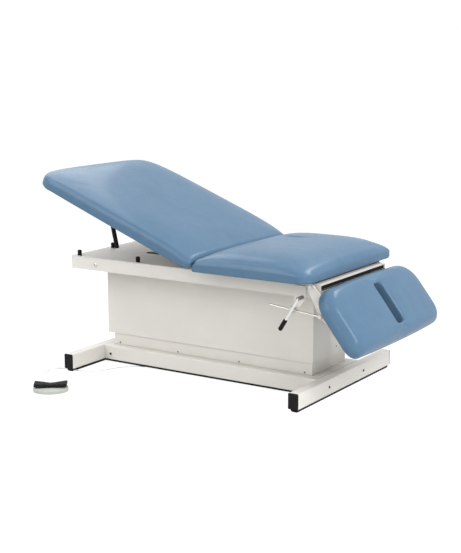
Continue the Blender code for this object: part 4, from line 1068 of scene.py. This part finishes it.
@dataclass
class FootSwitch:
    """Pedal on the floor: oval base, rocker with treads, strain relief and cord."""

    middle: tuple[float, float] = (-0.483, -0.750)
    turn: float = 36.0
    length: float = 0.162
    depth: float = 0.144
    relief_offset: float = -0.045
    relief_height: float = 0.009
    relief_stub: float = 0.014
    cord_radius: float = 0.003
    rocker_axis: float = 0.0233
    rocker_half: float = 0.075
    rocker_top: float = 0.009
    rocker_rise: float = 0.007
    tread_size: Point = (0.0013, 0.0030, 0.040)
    tread_start: float = 0.034
    tread_pitch: float = 0.0085
    tread_count: int = 5
    tread_sink: float = 0.0006
    route_steps: int = 4
    gland: Point = (-0.240, 0.0, 0.0642)
    route: tuple[tuple[float, float], ...] = (
        (-0.597, -0.665), (-0.650, -0.606), (-0.687, -0.554), (-0.7095, -0.508), (-0.716, -0.462),
        (-0.690, -0.431), (-0.640, -0.424), (-0.570, -0.418), (-0.505, -0.372), (-0.475, -0.300),
        (-0.430, -0.230), (-0.350, -0.175), (-0.285, -0.110), (-0.255, -0.045))

    def ways(self) -> tuple[Vector, Vector]:
        """Returns the pedal's long direction and the direction to its rear."""
        angle = math.radians(self.turn)
        cosine, sine = math.cos(angle), math.sin(angle)
        return Vector((cosine, sine, 0.0)), Vector((-sine, cosine, 0.0))

    def relief_end(self) -> Vector:
        """Returns the point where the cord leaves the pedal's stub."""
        along, rear = self.ways()
        edge = self.depth / 2 * math.sqrt(1 - (2 * self.relief_offset / self.length) ** 2)
        place = at(*self.middle, self.relief_height)
        return place + along * self.relief_offset + rear * (edge + self.relief_stub + GAP)

    def path(self) -> list[Vector]:
        """Returns the cord's smooth route from the pedal to the gland under the base."""
        start = self.relief_end()
        stops = [start, start + self.ways()[1] * 0.012]
        stops += [at(x, y, self.cord_radius) for x, y in self.route]
        end = at(*self.gland)
        stops += [end - Vector((0.002, 0.012, 0.030)), end - Vector((0.0, 0.0, 0.012)), end]
        padded = [stops[0]] + stops + [stops[-1]]
        points = []
        for a, b, c, d in zip(padded, padded[1:], padded[2:], padded[3:]):
            for step in range(self.route_steps):
                t = step / self.route_steps
                point = 0.5 * (2 * b + (c - a) * t + (2 * a - 5 * b + 4 * c - d) * t * t
                               + (3 * b - a - 3 * c + d) * t ** 3)
                point.z = max(point.z, self.cord_radius)
                points.append(point)
        return points + [stops[-1]]

    def cord(self) -> bpy.types.Object:
        """Lays the cord along its route."""
        points = self.path()
        data = bpy.data.curves.new("pedal_cord_sheath", "CURVE")
        data.dimensions = "3D"
        data.bevel_depth = self.cord_radius
        data.bevel_resolution = 4
        data.use_fill_caps = True
        line = data.splines.new("POLY")
        line.points.add(len(points) - 1)
        for stop, point in zip(line.points, points):
            stop.co = (*point, 1.0)
        line.use_smooth = True
        data.materials.append(SHEATH.material())
        cord = bpy.data.objects.new("pedal_cord_sheath", data)
        bpy.context.scene.collection.objects.link(cord)
        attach(cord, Body.BASE.value)
        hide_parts("pedal_cord")
        return cord

    def relief(self) -> bpy.types.Object:
        """Adds the tapered, grooved strain relief over the pedal's stub."""
        rear = self.ways()[1]
        profile = [(0.0, 0.0), (0.0066, 0.0), (0.0068, 0.001)]
        for index in range(4):
            along = 0.003 + 0.0048 * index
            radius = 0.0066 - 0.0006 * index
            profile += [(radius, along), (radius, along + 0.0030), (radius - 0.0012, along + 0.0034),
                        (radius - 0.0012, along + 0.0044)]
        profile += [(0.0041, 0.0232), (0.0036, 0.0246), (0.0, 0.0246)]
        start = self.relief_end() - rear * (self.relief_stub - 0.001)
        return add_piece("pedal_cord_relief", mesh_of(lathe(profile, start, rear)), PALE, Body.BASE)

    def treads(self) -> bpy.types.Object:
        """Adds the rocker's tread ribs."""
        ribs = FixingSet("rocker_treads", Body.ROCKER, BLACK, Repeat.RIB, self.tread_size)
        along, rear = self.ways()
        slope = self.rocker_rise / self.rocker_half
        for side in (-1, 1):
            for index in range(self.tread_count):
                reach = self.tread_start + self.tread_pitch * index
                height = self.rocker_axis + self.rocker_top + slope * reach - self.tread_sink
                facing = Vector((0.0, 0.0, 1.0)) - along * (side * slope)
                ribs.add(at(*self.middle, height) + along * (side * reach), facing.normalized(), rear)
        return ribs.build()

    def build(self) -> None:
        """Makes the pedal's pieces."""
        self.cord()
        self.relief()
        Eased("pedal_base", Body.BASE, PALE, 0.0010).build()
        Eased("pedal_rocker", Body.ROCKER, BLACK, 0.0022).build()
        self.treads()


@dataclass
class Base:
    """Frame on the floor with its covers, caps, strips and fixings."""

    end: float = 0.649
    rail_outer: float = 0.206
    cover_half: float = 0.159
    screw_line: float = 0.0965
    cover_screws: tuple[float, ...] = (-0.536, -0.186, 0.163, 0.515)
    end_bolts: tuple[float, float] = (-0.171, 0.167)
    end_bolt_height: float = 0.051
    rail_bolt: tuple[float, float] = (-0.562, 0.044)
    # black strip under each rail: painted shadow line between rail and floor
    shade_strip_edge: float = 0.0012
    shade_strip: tuple[float, float, float] = (0.597, 0.0070, 0.0146)
    shade_strip_half: float = 0.024
    shade_strip_inset: float = 0.025

    def fixings(self) -> None:
        """Adds cover screws and frame bolts."""
        screws = FixingSet("lower_cover_screws", Body.BASE, DULL, Repeat.SCREW, (0.0045, 0.0018, 0.0))
        for x in self.cover_screws:
            for side in (-1, 1):
                screws.add(at(x, side * self.cover_half, self.screw_line), (0.0, side, 0.0))
        screws.build()
        bolts = FixingSet("frame_bolts", Body.BASE, BLACKED, Repeat.SCREW, (0.0062, 0.0026, 0.0))
        for side in (-1, 1):
            for y in self.end_bolts:
                bolts.add(at(side * self.end, y, self.end_bolt_height), (side, 0.0, 0.0))
            bolts.add(at(self.rail_bolt[0], side * self.rail_outer, self.rail_bolt[1]), (0.0, side, 0.0))
        bolts.build()

    def rail_shade_strips(self) -> None:
        """Adds a black strip under each side rail, a painted shadow line along the rail's bottom."""
        half, low, high = self.shade_strip
        for name, side in (("near", -1), ("far", 1)):
            y = side * (self.rail_outer - self.shade_strip_inset)
            shape = rounded_box(at(-half, y - self.shade_strip_half, low), at(half, y + self.shade_strip_half, high),
                                self.shade_strip_edge)
            add_piece(f"{name}_rail_edging", mesh_of(shape), RUBBER, Body.BASE)

    def build(self) -> None:
        """Makes the base's pieces."""
        for node in ("head_crossbar", "foot_crossbar", "near_side_rail", "far_side_rail", "floor_plate"):
            Eased(node, Body.BASE, ENAMEL, 0.0008).build()
        for side in ("near", "far", "head", "foot"):
            Eased(f"lower_{side}_cover", Body.BASE, ENAMEL, 0.0009).build()
        for end in ("head", "foot"):
            Eased(f"{end}_rubber_strip", Body.BASE, RUBBER, 0.0012).build()
            for side in ("near", "far"):
                Eased(f"{end}_{side}_end_cap", Body.BASE, BLACK, 0.0016).build()
        self.fixings()
        self.rail_shade_strips()


@dataclass
class Top:
    """Deck with its rails, covers, bumpers, fixed seat and hinge brackets."""

    half: float = 0.316
    foot: float = 0.676
    deck_top: float = 0.5443
    bumper_radius: float = 0.0105
    bumper_top: float = 0.572
    bumper_places: tuple[tuple[float, float], ...] = (
        (-0.665, -0.302), (-0.665, 0.302), (-0.665, -0.040), (-0.312, -0.302), (-0.312, 0.302))
    # black block and lip strip below: painted shade inside the foot channel
    insert: tuple[float, float] = (0.0022, 0.004)
    insert_end: float = 0.002
    shade_block_edge: float = 0.0015
    edging: tuple[float, float] = (0.0012, 0.0045)
    edging_edge: float = 0.0003
    side_bolt: tuple[float, float] = (-0.557, 0.509)
    end_screws: tuple[tuple[float, float], ...] = ((0.560, 1.0), (-0.605, -1.0))
    end_screw_place: tuple[float, float] = (0.059, 0.179)
    bracket_screws: tuple[float, float] = (0.026, 0.074)
    bracket_thick: float = 0.004

    def bumpers(self) -> None:
        """Adds the rubber buffers that the backrest comes down on, each with a washer."""
        rubber, washers = bmesh.new(), bmesh.new()
        height = self.bumper_top - self.deck_top - GAP
        radius = self.bumper_radius
        profile = [(0.0, 0.0016), (radius * 0.92, 0.0016), (radius, 0.003), (radius, height * 0.32),
                   (radius * 0.93, height * 0.38), (radius * 0.93, height * 0.44), (radius, height * 0.5),
                   (radius, height - 0.004), (radius - 0.0012, height - 0.0012), (radius - 0.004, height),
                   (radius * 0.35, height), (radius * 0.30, height - 0.003), (0.0, height - 0.003)]
        ring = [(0.0, 0.0), (radius * 1.04, 0.0), (radius * 1.06, 0.0004), (radius * 1.04, 0.0015),
                (0.0, 0.0015)]
        for x, y in self.bumper_places:
            for whole, line in ((rubber, profile), (washers, ring)):
                part = lathe(line, at(x, y, self.deck_top + GAP), Vector((0.0, 0.0, 1.0)))
                mesh = mesh_of(part)
                whole.from_mesh(mesh)
                bpy.data.meshes.remove(mesh)
        nodes = [f"{name}_bumper" for name in ("head_near", "head_far", "head_centre", "mid_near", "mid_far")]
        add_piece("deck_bumpers", mesh_of(rubber), RUBBER, Body.TOP, nodes)
        add_piece("bumper_washers", mesh_of(washers), ZINC, Body.TOP)

    def channel_insert(self) -> None:
        """Adds a black block in the foot channel and a black strip on its lower lip, both painted shade for
        the channel's dark inside.
        """
        low, high = (Vector(corner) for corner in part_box("foot_channel"))
        # black block set in the channel as painted shade
        sheet, depth = self.insert
        shade_block = rounded_box(low + Vector((sheet, self.insert_end, sheet)),
                             high - Vector((depth, self.insert_end, sheet)), self.shade_block_edge)
        add_piece("foot_channel_insert", mesh_of(shade_block), RUBBER, Body.TOP)
        thick, tall = self.edging
        front = high.x + GAP
        edging = rounded_box(Vector((front, low.y, low.z)), Vector((front + thick, high.y, low.z + tall)),
                             self.edging_edge)
        add_piece("foot_channel_edging", mesh_of(edging), RUBBER, Body.TOP)

    def fixings(self) -> None:
        """Adds the deck's side bolts, the covers' screws and the hinge brackets' screws."""
        bolts = FixingSet("deck_side_bolts", Body.TOP, ZINC, Repeat.SCREW, (0.0105, 0.0040, 0.0))
        screws = FixingSet("upper_cover_screws", Body.TOP, DULL, Repeat.SCREW, (0.0045, 0.0018, 0.0))
        for x, way in self.end_screws:
            screws.add(at(x, *self.end_screw_place), (way, 0.0, 0.0))
        for side, name in ((-1, "near"), (1, "far")):
            bolts.add(at(self.side_bolt[0], side * self.half, self.side_bolt[1]), (0.0, side, 0.0))
            low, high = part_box(f"{name}_hinge_bracket")
            for x in self.bracket_screws:
                place = Vector((MIDDLE.x + x, (low[1] + high[1]) / 2, low[2] + self.bracket_thick))
                screws.add(place, (0.0, 0.0, 1.0), (0.0, 1.0, 0.0))
        bolts.build()
        screws.build()

    def build(self) -> None:
        """Makes the top's pieces."""
        roll = Roll(start=0.0308, height=0.0617, run=0.0281, crown=0.0417, crown_powers=(3.62, 5.63),
                    sag=0.0249, sag_power=2.81, head_sag=0.5, bottom_rise=0.007)
        Cushion("seat_pad", Body.TOP, head=0.084, foot=0.6665, half=0.4270, under=0.557, head_corner=0.020,
                foot_corner=0.0517, corner_growth=-0.20, roll=roll, board=(0.098, 0.658, 0.006, 0.081),
                bow=(0.0, 0.0, 0.0007), hollow=(0.050, 0.6029, 0.0295, 0.068)).build()
        Eased("deck_panel", Body.TOP, DECK_ENAMEL, 0.0008).build()
        for node in ("near_deck_rail", "far_deck_rail", "foot_channel", "clamp_plate"):
            Eased(node, Body.TOP, ENAMEL, 0.0008).build()
        for side in ("near", "far", "head", "foot"):
            Eased(f"upper_{side}_cover", Body.TOP, ENAMEL, 0.0009).build()
        for node in ("near_hinge_bracket", "far_hinge_bracket", "gas_spring_hanger", "drop_hinge_rod"):
            Eased(node, Body.TOP, ZINC, 0.0006).build()
        Eased("seat_board", Body.TOP, SHADE_DARKENED_PLYWOOD, 0.0008).build()
        self.bumpers()
        self.channel_insert()
        self.fixings()


@dataclass
class Backrest:
    """Tilting backrest with its hinge arms, gas spring and release handle."""

    axis: tuple[float, float] = (0.050, 0.6029)
    turn: float = 21.0
    hinge_y: float = 0.275
    pocket: tuple[float, float, float, float] = (-0.034, 0.0612, -0.0612, 0.0175)
    pocket_half: float = 0.019
    shaft: tuple[float, float] = (-0.505, -0.0475)
    handle: tuple[Point, ...] = ((0.075, -0.048, 0.0), (0.0, -0.048, 0.0), (0.0, -0.335, 0.0),
                                 (0.0733, -0.335, -0.1087))
    bar_radius: float = 0.004
    bar_bend: float = 0.012
    grip_radius: float = 0.0105
    grip_length: float = 0.112
    grip_edge: float = 0.006

    def pockets(self) -> list[bpy.types.Object]:
        """Returns cutters for the pockets that clear the hinge brackets."""
        cutters = []
        head, foot, low, high = self.pocket
        for side in (-1, 1):
            y = side * self.hinge_y
            shape = rounded_box(Vector((head, y - self.pocket_half, low)),
                                Vector((foot, y + self.pocket_half, high)))
            cutter = bpy.data.objects.new("hinge_pocket", mesh_of(shape, pivot(*self.axis, self.turn)))
            bpy.context.scene.collection.objects.link(cutter)
            cutters.append(cutter)
        return cutters

    def release(self) -> None:
        """Adds the release bar and its grip."""
        hinge = pivot(*self.axis, self.turn)
        shaft = hinge @ Vector((self.shaft[0], 0.0, self.shaft[1]))
        place = Matrix.Translation(shaft) @ Matrix.Rotation(math.radians(self.turn), 4, "Y")
        path = [place @ point for point in bent(self.handle, self.bar_bend)]
        bar = mesh_of(swept(path, self.bar_radius))
        add_piece("release_bar", bar, BLACKED, Body.RELEASE, ("release_handle",))
        way = (path[-1] - path[-2]).normalized()
        start = path[-1] - way * self.grip_length
        profile = rounded_rod(self.grip_radius, self.grip_length + self.bar_radius, self.grip_edge)
        add_piece("release_grip", mesh_of(lathe(profile, start, way)), RUBBER, Body.RELEASE)

    def build(self) -> None:
        """Makes the backrest's pieces."""
        roll = Roll(start=0.0246, height=0.0611, run=0.0155, crown=0.0194, crown_powers=(5.70, 6.79),
                    sag=0.0204, sag_power=5.15)
        Cushion("backrest_pad", Body.BACKREST, head=-0.9217, foot=0.0245, half=0.4369, under=-0.0313,
                head_corner=0.0848, foot_corner=0.020, corner_growth=0.09, roll=roll,
                board=(-0.904, -0.040, 0.096, 0.006), bow=(0.0047, 0.0, 0.0079), axis=self.axis,
                turn=self.turn, nose=0.0245, along_points=54).build(self.pockets())
        Eased("backrest_board", Body.BACKREST, SHADE_DARKENED_PLYWOOD, 0.0008).build()
        for node in ("near_hinge_arm", "far_hinge_arm", "gas_spring_bracket"):
            Eased(node, Body.BACKREST, ZINC, 0.0006).build()
        Eased("gas_cylinder", Body.GAS_CYLINDER, BLACKED, 0.0008).build()
        Eased("gas_rod", Body.GAS_ROD, CHROME, 0.0005).build()
        self.release()


@dataclass
class DropSection:
    """Drop section with its nose slot, arms, support rod and clamp lever."""

    axis: tuple[float, float] = (0.632, 0.530)
    turn: float = 52.0
    hub: Point = (0.590, -0.3583, 0.482)
    tip: Point = (0.500, -0.3583, 0.335)
    hub_reach: tuple[float, float] = (-0.3633, -0.3216)
    hub_radius: float = 0.0085
    bar_radius: float = 0.006
    grip_radius: float = 0.0098
    grip_length: float = 0.055
    grip_past: float = 0.0035
    grip_edge: float = 0.0055
    hub_edge: float = 0.002
    bar_start: float = 0.02
    bar_in_grip: float = 0.006

    def lever(self) -> None:
        """Adds the clamp lever: chrome bar, dull hub and black grip."""
        hub, tip = at(*self.hub), at(*self.tip)
        way = (tip - hub).normalized()
        bar_end = tip - way * (self.grip_length - self.bar_in_grip)
        bar = swept([hub, hub + way * self.bar_start, bar_end], self.bar_radius)
        add_piece("clamp_lever_bar", mesh_of(bar), CHROME, Body.LEVER, ("clamp_lever",))
        start = Vector((hub.x, MIDDLE.y + self.hub_reach[0], hub.z))
        profile = rounded_rod(self.hub_radius, self.hub_reach[1] - self.hub_reach[0], self.hub_edge)
        drum = lathe(profile, start, Vector((0.0, 1.0, 0.0)))
        add_piece("clamp_lever_hub", mesh_of(drum), DULL, Body.LEVER)
        profile = rounded_rod(self.grip_radius, self.grip_length + self.grip_past, self.grip_edge)
        grip = lathe(profile, tip - way * self.grip_length, way)
        add_piece("clamp_lever_grip", mesh_of(grip), RUBBER, Body.LEVER)

    def build(self) -> None:
        """Makes the drop section's pieces."""
        roll = Roll(start=0.0301, height=0.0763, run=0.0243, crown=0.0176, crown_powers=(3.89, 2.76),
                    sag=0.0215, sag_power=4.60, bottom_run=0.0072, bottom_rise=0.0187)
        Cushion("drop_pad", Body.DROP, head=0.0515, foot=0.3695, half=0.4262, under=0.024, head_corner=0.106,
                foot_corner=0.0525, corner_growth=0.05, roll=roll, board=(0.085, 0.352, 0.071, 0.071),
                bow=(0.005, 0.005, 0.0), axis=self.axis, turn=self.turn, slot=(0.110, 0.312, 0.070, 0.018),
                along_points=22).build()
        Eased("drop_board", Body.DROP, SHADE_DARKENED_PLYWOOD, 0.0008).build()
        for node in ("near_drop_arm", "far_drop_arm"):
            Eased(node, Body.DROP, ENAMEL, 0.0008).build()
        Eased("support_rod", Body.SUPPORT_ROD, SATIN, 0.0006).build()
        Eased("clamp_swivel", Body.SWIVEL, SATIN, 0.0008).build()
        self.lever()


def dress_hidden() -> None:
    """Gives the columns and the lift's parts inside the covers their finishes."""
    finishes = {"head_column_outer": ZINC, "foot_column_outer": ZINC, "head_column_inner": ZINC,
                "foot_column_inner": ZINC, "control_box": BLACK, "cord_gland": BLACK}
    for node, finish in finishes.items():
        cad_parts[node].material_slots[0].material = finish.material()
        LOG.info("%s keeps its shape", node)


def main() -> None:
    """Builds the studio and every sub-assembly in order."""
    logging.basicConfig(level=logging.INFO, format="%(name)s: %(message)s")
    Studio().build()
    FootSwitch().build()
    Base().build()
    Top().build()
    Backrest().build()
    DropSection().build()
    dress_hidden()


if __name__ == "__main__":
    main()
